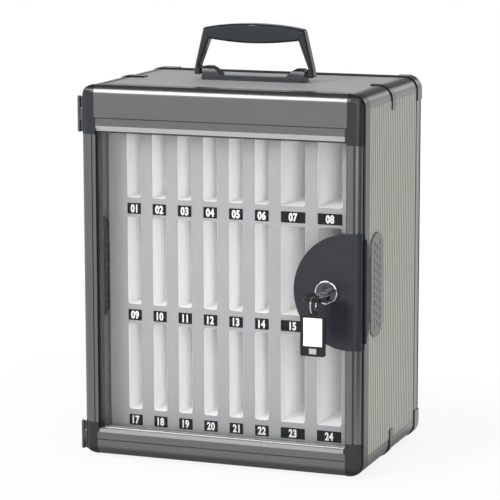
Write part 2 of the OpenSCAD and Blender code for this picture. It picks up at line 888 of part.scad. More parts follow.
// Shell over the window, a skin that follows the stile's edge, and a raised pad
module lock_cover() {
    pad_a = [lock_x + 6.6, -cover_t - 2.2, 165];
    pad_b = [lock_x + 22, -cover_t + 1, 192.6];
    shell_x = open_x[1] - 0.05;
    color("#3b3d42") in_frame() difference() {
        union() {
            intersection() {
                deep(-cover_t, window_y) cover_2d();
                block([0, -9, 0], [shell_x, window_y + 1, box_h]);
            }
            intersection() {
                deep(-cover_t, door_t) cover_2d();
                door_blank(cover_t);
                block([shell_x - 1, -9, 0], [door_right + cover_side_t, door_t + 1, box_h]);
            }
            block(pad_a, pad_b);
        }
        difference() {
            intersection() {
                deep(-cover_t + cover_wall, window_y + 1) cover_2d(cover_wall);
                block([0, -9, 0], [shell_x - cover_wall, window_y + 2, box_h]);
            }
            rod_y(lock_x, lock_z, barrel_outer_r + 3, -9, window_y + 3);
        }
        intersection() {
            door_blank();
            block([shell_x, -9, 0], [half_w + 9, door_t + 1, box_h]);
        }
        rod_y(lock_x, lock_z, barrel_outer_r + 0.1, -9, window_y + 3);
    }
}

module lock_barrel() {
    color("#d4d6d8") in_frame() difference() {
        union() {
            rod_y(lock_x, lock_z, lock_head_r, head_y[0], head_y[1]);
            rod_y(lock_x, lock_z, barrel_outer_r, head_y[1] - eps, barrel_end_y);
        }
        rod_y(lock_x, lock_z, lock_head_r - 1.8, head_y[0] - 1, head_y[0] + 1.8);
        rod_y(lock_x, lock_z, plug_r + plug_fit, head_y[0] - 1, barrel_end_y + 1);
    }
}

module lock_nut() {
    y0 = window_y + window_t;
    color("#b8babc") in_frame() difference() {
        translate([lock_x, y0 + 4, lock_z]) rotate([90, 0, 0]) cylinder(r = 14, h = 4, $fn = 6);
        rod_y(lock_x, lock_z, barrel_outer_r + 0.02, y0 - 1, y0 + 5);
    }
}

module lock_plug() {
    head_r = lock_head_r - 1.8 - 0.15;
    color("#8e9093") in_frame() difference() {
        union() {
            rod_y(lock_x, lock_z, head_r, head_y[0] + 0.5, head_y[0] + 1.75);
            rod_y(lock_x, lock_z, plug_r, head_y[0] + 1.7, barrel_end_y + 0.3);
            block([lock_x - cam_square / 2, barrel_end_y, lock_z - cam_square / 2],
                  [lock_x + cam_square / 2, cam_y[1], lock_z + cam_square / 2]);
        }
        block([lock_x - blade_w / 2 - slot_fit, head_y[0] - 1, lock_z - blade_t / 2 - slot_fit],
              [lock_x + blade_w / 2 + slot_fit, blade_tip_y + 0.6, lock_z + blade_t / 2 + slot_fit]);
        rod_y(lock_x, lock_z, 2.05, blade_tip_y + 2, cam_y[1] + 1);
    }
}

// The cam points up while the door is free, and turns towards the stile to lock it
module lock_cam() {
    half_cam = 8;
    s = cam_square / 2 + 0.02;
    color("#a9abae") in_frame() deep(cam_y[0], cam_y[1]) difference() {
        union() {
            translate([lock_x, lock_z]) circle(half_cam + 1);
            translate([lock_x - half_cam, lock_z]) square([2 * half_cam, cam_len - half_cam]);
            translate([lock_x, lock_z + cam_len - half_cam]) circle(half_cam);
        }
        translate([lock_x - s, lock_z - s]) square(2 * s);
    }
}

module cam_screw() {
    color("#b8babc") in_frame() {
        rod_y(lock_x, lock_z, 2, blade_tip_y + 2.5, cam_y[1] + eps);
        translate([lock_x, cam_y[1] + 3, lock_z]) rotate([90, 0, 0]) cylinder(r = 6.5, h = 3, $fn = 6);
    }
}

// Guard on the cabinet's side, folded round the frame's front edge, across the seam from the cover
module lock_guard() {
    half_h = (guard_z[1] - guard_z[0]) / 2;
    sag = guard_y1 - guard_lip_y;
    r = (half_h * half_h + sag * sag) / (2 * sag);
    color("#2a2c30") in_frame() {
        across(half_w, half_w + guard_t) intersection() {
            translate([guard_y1 - r, guard_z[0] + half_h]) circle(r, $fn = 180);
            translate([guard_lip_y, guard_z[0] - 1]) square([sag, 2 * half_h + 2]);
        }
        block([guard_lip_x, guard_lip_y, guard_z[0] + 6], [half_w + eps, face_y, guard_z[1] - 6]);
    }
}

// ---------- Key, ring and tag ----------

module key_blade() {
    teeth = [for (i = [0:4]) blade_tip_y - 3 - i * 3.4];
    color("#c9cbcd") in_frame() translate([0, 0, lock_z - blade_t / 2]) linear_extrude(blade_t)
        difference() {
            polygon([[lock_x - blade_w / 2, bow_y[1] - 8], [lock_x + blade_w / 2, bow_y[1] - 8],
                     [lock_x + blade_w / 2, blade_tip_y - 3], [lock_x, blade_tip_y],
                     [lock_x - blade_w / 2, blade_tip_y - 3]]);
            for (y = teeth)
                polygon([[lock_x + blade_w / 2 + 1, y - 2.6], [lock_x + blade_w / 2 - 1.6, y - 1],
                         [lock_x + blade_w / 2 - 1.6, y - 0.6], [lock_x + blade_w / 2 + 1, y + 1]]);
        }
}

module key_bow() {
    r = 8;
    mid = (bow_y[0] + bow_y[1]) / 2;
    color("#232427") in_frame() difference() {
        translate([0, 0, lock_z - bow_t / 2]) linear_extrude(bow_t) {
            translate([lock_x - bow_w / 2 + r, bow_y[0]]) square([bow_w - 2 * r, bow_y[1] - bow_y[0]]);
            translate([lock_x - bow_w / 2, bow_y[0] + r])
                square([bow_w, bow_y[1] - bow_y[0] - 2 * r]);
            for (x = [-1, 1], y = [bow_y[0] + r, bow_y[1] - r])
                translate([lock_x + x * (bow_w / 2 - r), y]) circle(r);
        }
        translate([lock_x, bow_hole_y, lock_z - bow_t]) cylinder(r = bow_hole_r, h = 2 * bow_t);
        block([lock_x - blade_w / 2 - eps, bow_y[1] - 8 - eps, lock_z - blade_t / 2 - eps],
              [lock_x + blade_w / 2 + eps, bow_y[1] + 1, lock_z + blade_t / 2 + eps]);
    }
}

module key_ring() {
    color("#c9cbcd") in_frame() translate([lock_x, hang_y, ring_z]) rotate([0, 90, 0])
        rotate_extrude($fn = 64) translate([ring_r, 0]) circle(wire_r, $fn = 16);
}

// Black case with a large and a small opening, hung from the ring by a lug
module tag_case() {
    y0 = hang_y - tag_t / 2;
    z0 = tag_top_z - tag_h;
    rim = 3.1;
    color("#1f1f21") in_frame() difference() {
        union() {
            deep(y0, y0 + tag_t) {
                r = 2;
                translate([lock_x - tag_w / 2 + r, z0]) square([tag_w - 2 * r, tag_h]);
                translate([lock_x - tag_w / 2, z0 + r]) square([tag_w, tag_h - 2 * r]);
                for (x = [-1, 1], z = [z0 + r, tag_top_z - r])
                    translate([lock_x + x * (tag_w / 2 - r), z]) circle(r, $fn = 24);
            }
            rod_y(lock_x, tag_hole_z, tag_hole_r + 2, y0 + 1, y0 + tag_t - 1);
            block([lock_x - tag_hole_r - 2, y0 + 1, tag_top_z - 1],
                  [lock_x + tag_hole_r + 2, y0 + tag_t - 1, tag_hole_z]);
        }
        rod_y(lock_x, tag_hole_z, tag_hole_r, y0 - 1, y0 + tag_t + 1);
        block([lock_x - tag_w / 2 + rim, y0 - 1, z0 + 10.6],
              [lock_x + tag_w / 2 - rim, y0 + tag_t / 2, tag_top_z - 2]);
        block([lock_x - 4.4, y0 - 1, z0 + 2], [lock_x + 4.4, y0 + 1, z0 + 8.6]);
    }
}

module tag_card() {
    y0 = hang_y - tag_t / 2;
    z0 = tag_top_z - tag_h;
    color("white") in_frame()
        block([lock_x - tag_w / 2 + 3.2, y0 + tag_t / 2 - 1.2, z0 + 10.7],
              [lock_x + tag_w / 2 - 3.2, y0 + tag_t / 2, tag_top_z - 2.1]);
}

front_frame();
rear_frame();
back_panel();
left_side_panel();
right_side_panel();
top_panel();
bottom_panel();
edge_top_left();
edge_top_right();
edge_bottom_left();
edge_bottom_right();
middle_clips();
rear_clips();
left_vent();
right_vent();
feet();
foot_screws();
insert_back();
insert_top_rail();
number_rail_top();
number_rail_middle();
number_rail_bottom();
dividers_top();
dividers_middle();
dividers_bottom();
number_plates();
handle_base();
handle_pins();
handle_screws();
handle_grip();
lock_guard();
hinge_leaves_body();
hinge_pins();
hinge_screws_body();
hinge_leaves_door();
hinge_screws_door();
door_top_rail();
door_bottom_rail();
door_left_stile();
door_right_stile();
door_corner_top_left();
door_corner_top_right();
door_corner_bottom_left();
door_corner_bottom_right();
window();
window_gasket();
lock_cover();
lock_barrel();
lock_nut();
lock_plug();
lock_cam();
cam_screw();
key_blade();
key_bow();
key_ring();
tag_case();
tag_card();
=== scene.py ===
"""Looks of the numbered locker box: finishes, trays, numerals, key ring, light and camera."""

import json
import logging
import math
from dataclasses import dataclass
from enum import Enum

import bmesh
import bpy
from bpy.types import ID, Material, Mesh, Node, NodeSocket, NodeTree, Object, World
from mathutils import Matrix, Vector


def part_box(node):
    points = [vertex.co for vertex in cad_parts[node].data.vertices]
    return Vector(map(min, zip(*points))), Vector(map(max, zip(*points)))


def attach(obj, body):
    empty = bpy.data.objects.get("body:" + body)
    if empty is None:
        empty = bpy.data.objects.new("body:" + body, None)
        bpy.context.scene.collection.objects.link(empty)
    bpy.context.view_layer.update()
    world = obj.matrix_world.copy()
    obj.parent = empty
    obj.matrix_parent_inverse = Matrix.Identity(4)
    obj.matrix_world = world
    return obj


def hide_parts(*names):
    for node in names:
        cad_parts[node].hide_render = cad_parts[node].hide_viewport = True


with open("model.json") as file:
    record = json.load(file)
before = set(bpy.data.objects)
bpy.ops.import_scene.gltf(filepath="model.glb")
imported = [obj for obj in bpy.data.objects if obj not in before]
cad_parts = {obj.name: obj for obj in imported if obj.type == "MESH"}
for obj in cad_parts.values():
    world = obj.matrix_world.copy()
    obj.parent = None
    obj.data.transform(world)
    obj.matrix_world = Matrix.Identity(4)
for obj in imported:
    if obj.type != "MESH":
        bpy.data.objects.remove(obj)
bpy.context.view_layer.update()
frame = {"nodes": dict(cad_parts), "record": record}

logging.basicConfig(level=logging.INFO, format="%(message)s")
LOG = logging.getLogger("locker_box")

MM = 0.001
WHITE = (1.0, 1.0, 1.0, 1.0)

# Sockets of a Mix node: its factor, its two numbers, its two colours and the colour it gives.
FACTOR, NUMBER_A, NUMBER_B, COLOUR_A, COLOUR_B = 0, 2, 3, 6, 7
MIXED_COLOUR = 2


# ---------- Helpers ----------


class Run(Enum):
    """Direction that a profile was drawn along, so that its fine lines follow it."""

    X = (0.02, 1.0, 1.0)
    Y = (1.0, 0.02, 1.0)
    Z = (1.0, 1.0, 0.02)


def linear(hex_colour: str) -> tuple[float, float, float, float]:
    """Turns an sRGB hex colour to linear.

    Args:
        hex_colour: Colour such as "#7f7f7f".

    Returns:
        Linear red, green and blue, and an alpha of one.
    """
    channels = [int(hex_colour[i : i + 2], 16) / 255 for i in (1, 3, 5)]
    toned = [c / 12.92 if c <= 0.04045 else ((c + 0.055) / 1.055) ** 2.4 for c in channels]
    return (*toned, 1.0)


def shade(hex_colour: str, factor: float) -> str:
    """A hex colour made lighter or darker by a factor."""
    channels = [min(255, round(int(hex_colour[i : i + 2], 16) * factor)) for i in (1, 3, 5)]
    return "#" + "".join(f"{c:02x}" for c in channels)


def feed(tree: NodeTree, node: Node, inputs: dict[int | str, object]) -> None:
    """Gives a node's inputs their values and links.

    Args:
        tree: Node tree that holds the node.
        node: The node.
        inputs: Input name or number to a value, to the socket that feeds it, or to a node whose
            first output feeds it.
    """
    for key, value in inputs.items():
        source = value.outputs[0] if isinstance(value, Node) else value
        if isinstance(source, NodeSocket):
            tree.links.new(source, node.inputs[key])
        else:
            node.inputs[key].default_value = source


def add_node(
    tree: NodeTree, kind: str, inputs: dict[int | str, object] | None = None, **settings: object
) -> Node:
    """Adds a shader node with its settings, values and links.

    Args:
        tree: Node tree that gets the node.
        kind: Type name after "ShaderNode", such as "Math".
        inputs: Its inputs, as feed() takes them.
        **settings: Attributes of the node.

    Returns:
        The new node.
    """
    node = tree.nodes.new("ShaderNode" + kind)
    for name, value in settings.items():
        setattr(node, name, value)
    feed(tree, node, inputs or {})
    return node


def empty_tree(holder: Material | World) -> NodeTree:
    """Takes the default nodes out of a material or world.

    Args:
        holder: The material or world.

    Returns:
        Its empty node tree.
    """
    holder.use_nodes = True
    holder.node_tree.nodes.clear()
    return holder.node_tree


def new_material(name: str) -> tuple[Material, NodeTree, Node]:
    """Starts a material that holds only a Principled shader and its output.

    Args:
        name: Name of the material.

    Returns:
        The material, its node tree and its Principled node.
    """
    material = bpy.data.materials.new(name)
    tree = empty_tree(material)
    shader = add_node(tree, "BsdfPrincipled")
    add_node(tree, "OutputMaterial", {"Surface": shader})
    return material, tree, shader


def link_object(name: str, data: ID) -> Object:
    """Puts a mesh, curve, lamp or camera in the scene.

    Args:
        name: Name of the object.
        data: What it holds.

    Returns:
        The object, at the origin.
    """
    obj = bpy.data.objects.new(name, data)
    bpy.context.scene.collection.objects.link(obj)
    return obj


def to_object(name: str, bm: bmesh.types.BMesh, smooth_deg: float = 35.0) -> Object:
    """Turns a bmesh to an object with smooth faces and sharp edges above an angle.

    Args:
        name: Name of the object and its mesh.
        bm: The mesh, in metres, which is freed.
        smooth_deg: Angle above which an edge stays sharp.

    Returns:
        The object, at the origin.
    """
    limit = math.radians(smooth_deg)
    for face in bm.faces:
        face.smooth = True
    for edge in bm.edges:
        edge.smooth = len(edge.link_faces) == 2 and edge.calc_face_angle(0.0) < limit
    mesh = bpy.data.meshes.new(name)
    bm.to_mesh(mesh)
    bm.free()
    return link_object(name, mesh)


def settle(obj: Object, body: str, slot: str, finish: Material, *nodes: str) -> None:
    """Gives a piece its body and finish, and hides the nodes that it stands for.

    Args:
        obj: The piece.
        body: CAD body that it moves with.
        slot: Material slot of the record; not used.
        finish: Its material.
        *nodes: CAD nodes that it stands for.
    """
    obj.data.materials.clear()
    obj.data.materials.append(finish)
    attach(obj, body)
    if nodes:
        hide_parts(*nodes)
    LOG.info("%s: %d faces on %s", obj.name, len(obj.data.polygons), body)


def eased_copy(node: str, radius_mm: float) -> Object:
    """Copies a CAD node's mesh, merges it and rounds its sharp edges.

    Flat faces stay flat beside the rounded edges, because their normals weigh more.

    Args:
        node: Name of the CAD node.
        radius_mm: Size of the rounding.

    Returns:
        A new object beside the node.
    """
    merge_mm, flat_deg, sharp_deg, smooth_deg = 0.002, 0.6, 28.0, 40.0
    bm = bmesh.new()
    bm.from_mesh(frame["nodes"][node].data)
    bmesh.ops.remove_doubles(bm, verts=bm.verts, dist=merge_mm * MM)
    bmesh.ops.dissolve_limit(
        bm, angle_limit=math.radians(flat_deg), verts=bm.verts, edges=bm.edges
    )
    limit = math.radians(sharp_deg)
    sharp = [e for e in bm.edges if len(e.link_faces) == 2 and e.calc_face_angle(0.0) > limit]
    bmesh.ops.bevel(
        bm,
        geom=sharp,
        offset=radius_mm * MM,
        offset_type="OFFSET",
        affect="EDGES",
        segments=2,
        profile=0.5,
        material=-1,
        clamp_overlap=True,
    )
    obj = to_object(node + "_eased", bm, smooth_deg)
    modifier = obj.modifiers.new("weighted_normals", "WEIGHTED_NORMAL")
    modifier.keep_sharp = True
    modifier.weight = 80
    return obj


def within(tree: NodeTree, value: NodeSocket, low: float, high: float) -> NodeSocket:
    """Makes a mask that is one between two values, with edges a tenth of a millimetre soft.

    Args:
        tree: Node tree that gets the nodes.
        value: Value to test, in metres.
        low: Lower end in millimetres.
        high: Upper end in millimetres.

    Returns:
        The mask.
    """
    soft = 0.05
    ends = [((low - soft) * MM, (low + soft) * MM), ((high + soft) * MM, (high - soft) * MM)]
    rise, fall = (
        add_node(tree, "MapRange", {"Value": value, "From Min": start, "From Max": end})
        for start, end in ends
    )
    return add_node(tree, "Math", {0: rise, 1: fall}, operation="MULTIPLY").outputs[0]


def layered(tree: NodeTree, under: str, *layers: tuple[NodeSocket | Node, str]) -> NodeSocket:
    """Lays colours over one another, each by its own mask.

    Args:
        tree: Node tree that gets the nodes.
        under: The lowest colour, as sRGB hex.
        *layers: Mask and colour of each layer above it, from the lowest up.

    Returns:
        The colour that shows.
    """
    colour = linear(under)
    for mask, over in layers:
        inputs = {FACTOR: mask, COLOUR_A: colour, COLOUR_B: linear(over)}
        colour = add_node(tree, "Mix", inputs, data_type="RGBA").outputs[MIXED_COLOUR]
    return colour


# ---------- Finishes ----------


@dataclass(frozen=True)
class Marking:
    """Stretch of a profile with its own tone.

    It is painted shade on a groove's floor, or a lighter band along a chamfer. With square_on it
    covers only the faces that look straight out of the door.
    """

    axis: str
    low_mm: float
    high_mm: float
    colour: str
    metallic: float
    square_on: bool = False
    outward: tuple[float, float] = (-0.992, -0.998)

    def mask(self, tree: NodeTree, place: Node) -> NodeSocket:
        """Makes the marking's mask.

        Args:
            tree: Node tree that gets the nodes.
            place: Texture coordinates.

        Returns:
            The mask.
        """
        spot = add_node(tree, "SeparateXYZ", {0: place.outputs["Object"]}).outputs[self.axis]
        mask = within(tree, spot, self.low_mm, self.high_mm)
        if not self.square_on:
            return mask
        start, end = self.outward
        facing = add_node(tree, "SeparateXYZ", {0: place.outputs["Normal"]}).outputs["Y"]
        front = add_node(tree, "MapRange", {"Value": facing, "From Min": start, "From Max": end})
        return add_node(tree, "Math", {0: mask, 1: front}, operation="MULTIPLY").outputs[0]


# Painted shade: the floor of each groove is painted dark, as its shadow would make it.
GROOVE_PAINTED_SHADE = Marking("Y", -77.5, -76.8, "#3c3c3c", 0.6, square_on=True)


@dataclass(frozen=True)
class AnodisedAluminium:
    """Drawn aluminium profile, bead blasted and anodised.

    It gives the eye a satin metal with very fine lines along its length. Real lines are finer:
    these are as coarse as they need to be to show.
    """

    name: str = "anodised_aluminium"
    colour: str = "#707070"
    roughness: float = 0.24
    metallic: float = 0.96
    line_mm: float = 0.5
    line_depth_mm: float = 0.05
    relief: float = 0.05
    clouds_per_metre: float = 9.0
    tones: tuple[float, float] = (0.95, 1.05)
    spread: tuple[float, float] = (-0.04, 0.05)

    def build(self, run: Run, *markings: Marking) -> Material:
        """Makes the material.

        Args:
            run: Direction that the profile's lines follow.
            *markings: Stretches with a tone of their own.

        Returns:
            The material.
        """
        material, tree, shader = new_material(f"{self.name}_{run.name.lower()}")
        place = add_node(tree, "TexCoord")
        spot = place.outputs["Object"]
        scale = tuple(s / (self.line_mm * MM) for s in run.value)
        lined = add_node(tree, "Mapping", {"Vector": spot, "Scale": scale})
        lines = add_node(tree, "TexNoise", {"Vector": lined, "Scale": 1.0, "Detail": 3.0})
        wide = {"Vector": spot, "Scale": self.clouds_per_metre, "Detail": 2.0}
        cloud = add_node(tree, "TexNoise", wide)
        low, high = (self.roughness + s for s in self.spread)
        depth = self.line_depth_mm * MM
        masks = [(marking.mask(tree, place), marking) for marking in markings]
        dark, light = (shade(self.colour, t) for t in self.tones)
        marked = [(mask, marking.colour) for mask, marking in masks]
        metallic = self.metallic
        for mask, marking in masks:
            metals = {FACTOR: mask, NUMBER_A: metallic, NUMBER_B: marking.metallic}
            metallic = add_node(tree, "Mix", metals)
        look = {
            "Base Color": layered(tree, dark, (lines, light), *marked),
            "Metallic": metallic,
            "Roughness": add_node(
                tree, "MapRange", {"Value": cloud, "To Min": low, "To Max": high}
            ),
            "Normal": add_node(
                tree, "Bump", {"Height": lines, "Strength": self.relief, "Distance": depth}
            ),
        }
        feed(tree, shader, look)
        return material


@dataclass(frozen=True)
class TwoLevelSheet:
    """Sheet or moulding with painted shade below its raised ribs, which stay lighter.

    Its inner side has a tone of its own, and is paint where the outer side is metal. The step is
    the depth where the painted shade ends and the one where the raised tone begins.
    """

    name: str
    raised: str
    painted_shade: str
    inner: str
    step_mm: tuple[float, float]
    inner_mm: tuple[float, float]
    roughness: float = 0.4
    metallic: float = 0.5
    marks_per_metre: tuple[float, float, float] = (2000.0, 2000.0, 30.0)
    spread: tuple[float, float] = (-0.06, 0.08)

    def build(self, outer: float) -> Material:
        """Makes the material.

        Args:
            outer: Distance of the raised face from the middle plane of the box, in metres.

        Returns:
            The material.
        """
        material, tree, shader = new_material(self.name)
        spot = add_node(tree, "TexCoord").outputs["Object"]
        parts = add_node(tree, "SeparateXYZ", {0: spot})
        out = add_node(tree, "Math", {0: parts.outputs["X"]}, operation="ABSOLUTE")
        depths = [[outer - depth * MM for depth in pair] for pair in (self.step_mm, self.inner_mm)]
        level, inside = (
            add_node(tree, "MapRange", {"Value": out, "From Min": start, "From Max": end})
            for start, end in depths
        )
        brushed = add_node(tree, "Mapping", {"Vector": spot, "Scale": self.marks_per_metre})
        marks = add_node(tree, "TexNoise", {"Vector": brushed, "Scale": 1.0, "Detail": 2.0})
        low, high = (self.roughness + s for s in self.spread)
        metallic = self.metallic
        if metallic > 0:
            bare = {FACTOR: inside, NUMBER_A: metallic, NUMBER_B: 0.0}
            metallic = add_node(tree, "Mix", bare)
        look = {
            # Painted shade below the ribs, then the inner side's own tone.
            "Base Color": layered(tree, self.painted_shade, (level, self.raised), (inside, self.inner)),
            "Metallic": metallic,
            "Roughness": add_node(
                tree, "MapRange", {"Value": marks, "To Min": low, "To Max": high}
            ),
        }
        feed(tree, shader, look)
        return material


@dataclass(frozen=True)
class LinedSheet:
    """Powder coated sheet with fine pressed lines front to back, a painted highlight on each
    crest.
    """

    name: str = "lined_deck_sheet"
    colour: str = "#b3b3b4"
    tones: tuple[float, float, float] = (0.94, 1.02, 1.14)
    line_pitch_mm: float = 6.7
    crest_mm: tuple[float, float] = (0.55, 0.95)
    crest_height_mm: float = 0.15
    relief: float = 0.3
    speckles_per_metre: float = 1500.0
    roughness: float = 0.45
    metallic: float = 0.2

    def build(self) -> Material:
        """Makes the material.

        Returns:
            The material.
        """
        material, tree, shader = new_material(self.name)
        spot = add_node(tree, "TexCoord").outputs["Object"]
        parts = add_node(tree, "SeparateXYZ", {0: spot})
        half_pitch = self.line_pitch_mm * MM / 2
        line = {0: parts.outputs["X"], 1: half_pitch}
        wave = add_node(tree, "Math", line, operation="PINGPONG")
        start, end = (c * MM for c in self.crest_mm)
        slope = {"Value": wave, "From Min": start, "From Max": end, "To Min": 1.0, "To Max": 0.0}
        crest = add_node(tree, "MapRange", slope)
        fine = {"Vector": spot, "Scale": self.speckles_per_metre, "Detail": 2.0}
        speckle = add_node(tree, "TexNoise", fine)
        # The third tone is a painted highlight along each crest.
        dark, light, top = (shade(self.colour, t) for t in self.tones)
        height = self.crest_height_mm * MM
        look = {
            "Base Color": layered(tree, dark, (speckle, light), (crest, top)),
            "Metallic": self.metallic,
            "Roughness": self.roughness,
            "Normal": add_node(
                tree, "Bump", {"Height": crest, "Strength": self.relief, "Distance": height}
            ),
        }
        feed(tree, shader, look)
        return material


@dataclass(frozen=True)
class MouldedPlastic:
    """Injection moulded plastic with a spark-eroded grain: soft gloss broken by fine pits.

    The grain is coarser than a real one, so that it shows.
    """

    name: str
    colour: str
    roughness: float = 0.42
    grain_mm: float = 0.45
    grain_depth_mm: float = 0.03
    relief: float = 0.35
    mottle: float = 0.10
    gloss_level: float = 0.5
    clouds_per_metre: float = 22.0
    spread: tuple[float, float] = (-0.06, 0.08)

    def build(self) -> Material:
        """Makes the material.

        Returns:
            The material.
        """
        material, tree, shader = new_material(self.name)
        spot = add_node(tree, "TexCoord").outputs["Object"]
        grain, cloud = (
            add_node(tree, "TexNoise", {"Vector": spot, "Scale": scale, "Detail": detail})
            for scale, detail in ((1 / (self.grain_mm * MM), 2.0), (self.clouds_per_metre, 4.0))
        )
        dark, light = (shade(self.colour, 1 + s * self.mottle) for s in (-1, 1))
        low, high = (self.roughness + s for s in self.spread)
        depth = self.grain_depth_mm * MM
        look = {
            "Base Color": layered(tree, dark, (cloud, light)),
            "Roughness": add_node(
                tree, "MapRange", {"Value": grain, "To Min": low, "To Max": high}
            ),
            "Specular IOR Level": self.gloss_level,
            "Normal": add_node(
                tree, "Bump", {"Height": grain, "Strength": self.relief, "Distance": depth}
            ),
        }
        feed(tree, shader, look)
        return material


@dataclass(frozen=True)
class PlatedMetal:
    """Plated steel or zinc: a bright metal, its gloss broken slightly by fine polishing marks."""

    name: str
    colour: str
    roughness: float
    mark_mm: float = 0.3
    tones: tuple[float, float] = (0.95, 1.04)
    wear: tuple[float, float] = (0.7, 1.3)
    dulling: float = 0.02

    def build(self) -> Material:
        """Makes the material.

        Returns:
            The material.
        """
        material, tree, shader = new_material(self.name)
        spot = add_node(tree, "TexCoord").outputs["Object"]
        fine = {"Vector": spot, "Scale": 1 / (self.mark_mm * MM), "Detail": 3.0}
        marks = add_node(tree, "TexNoise", fine)
        dark, light = (shade(self.colour, t) for t in self.tones)
        low, high = (self.roughness * w for w in self.wear)
        high += self.dulling
        look = {
            "Base Color": layered(tree, dark, (marks, light)),
            "Metallic": 1.0,
            "Roughness": add_node(
                tree, "MapRange", {"Value": marks, "To Min": low, "To Max": high}
            ),
        }
        feed(tree, shader, look)
        return material


@dataclass(frozen=True)
class ClearAcrylic:
    """Cast acrylic sheet: nothing but a faint reflection, stronger towards grazing angles."""

    name: str = "cast_acrylic"
    colour: str = "#f4f8f9"
    ior: float = 1.49
    reflection: float = 0.3
    hazes_per_metre: float = 14.0
    roughness: tuple[float, float] = (0.02, 0.07)

    def build(self) -> Material:
        """Makes the material.

        Returns:
            The material.
        """
        material, tree, shader = new_material(self.name)
        spot = add_node(tree, "TexCoord").outputs["Object"]
        wide = {"Vector": spot, "Scale": self.hazes_per_metre, "Detail": 3.0}
        haze = add_node(tree, "TexNoise", wide)
        fresnel = add_node(tree, "Fresnel", {"IOR": self.ior})
        low, high = self.roughness
        look = {
            "Base Color": linear(self.colour),
            "Metallic": 1.0,
            "Roughness": add_node(
                tree, "MapRange", {"Value": haze, "To Min": low, "To Max": high}
            ),
            "Alpha": add_node(
                tree, "Math", {0: fresnel, 1: self.reflection}, operation="MULTIPLY"
            ),
        }
        feed(tree, shader, look)
        return material


@dataclass(frozen=True)
class PrintedWhite:
    """Screen printed ink, or card: matt and very slightly uneven."""

    name: str
    colour: str
    roughness: float = 0.6
    fibre_tone: float = 0.96
    fibres_per_metre: float = 3000.0

    def build(self) -> Material:
        """Makes the material.

        Returns:
            The material.
        """
        material, tree, shader = new_material(self.name)
        spot = add_node(tree, "TexCoord").outputs["Object"]
        fine = {"Vector": spot, "Scale": self.fibres_per_metre, "Detail": 3.0}
        fibre = add_node(tree, "TexNoise", fine)
        dark = shade(self.colour, self.fibre_tone)
        tone = layered(tree, dark, (fibre, self.colour))
        feed(tree, shader, {"Base Color": tone, "Roughness": self.roughness})
        return material


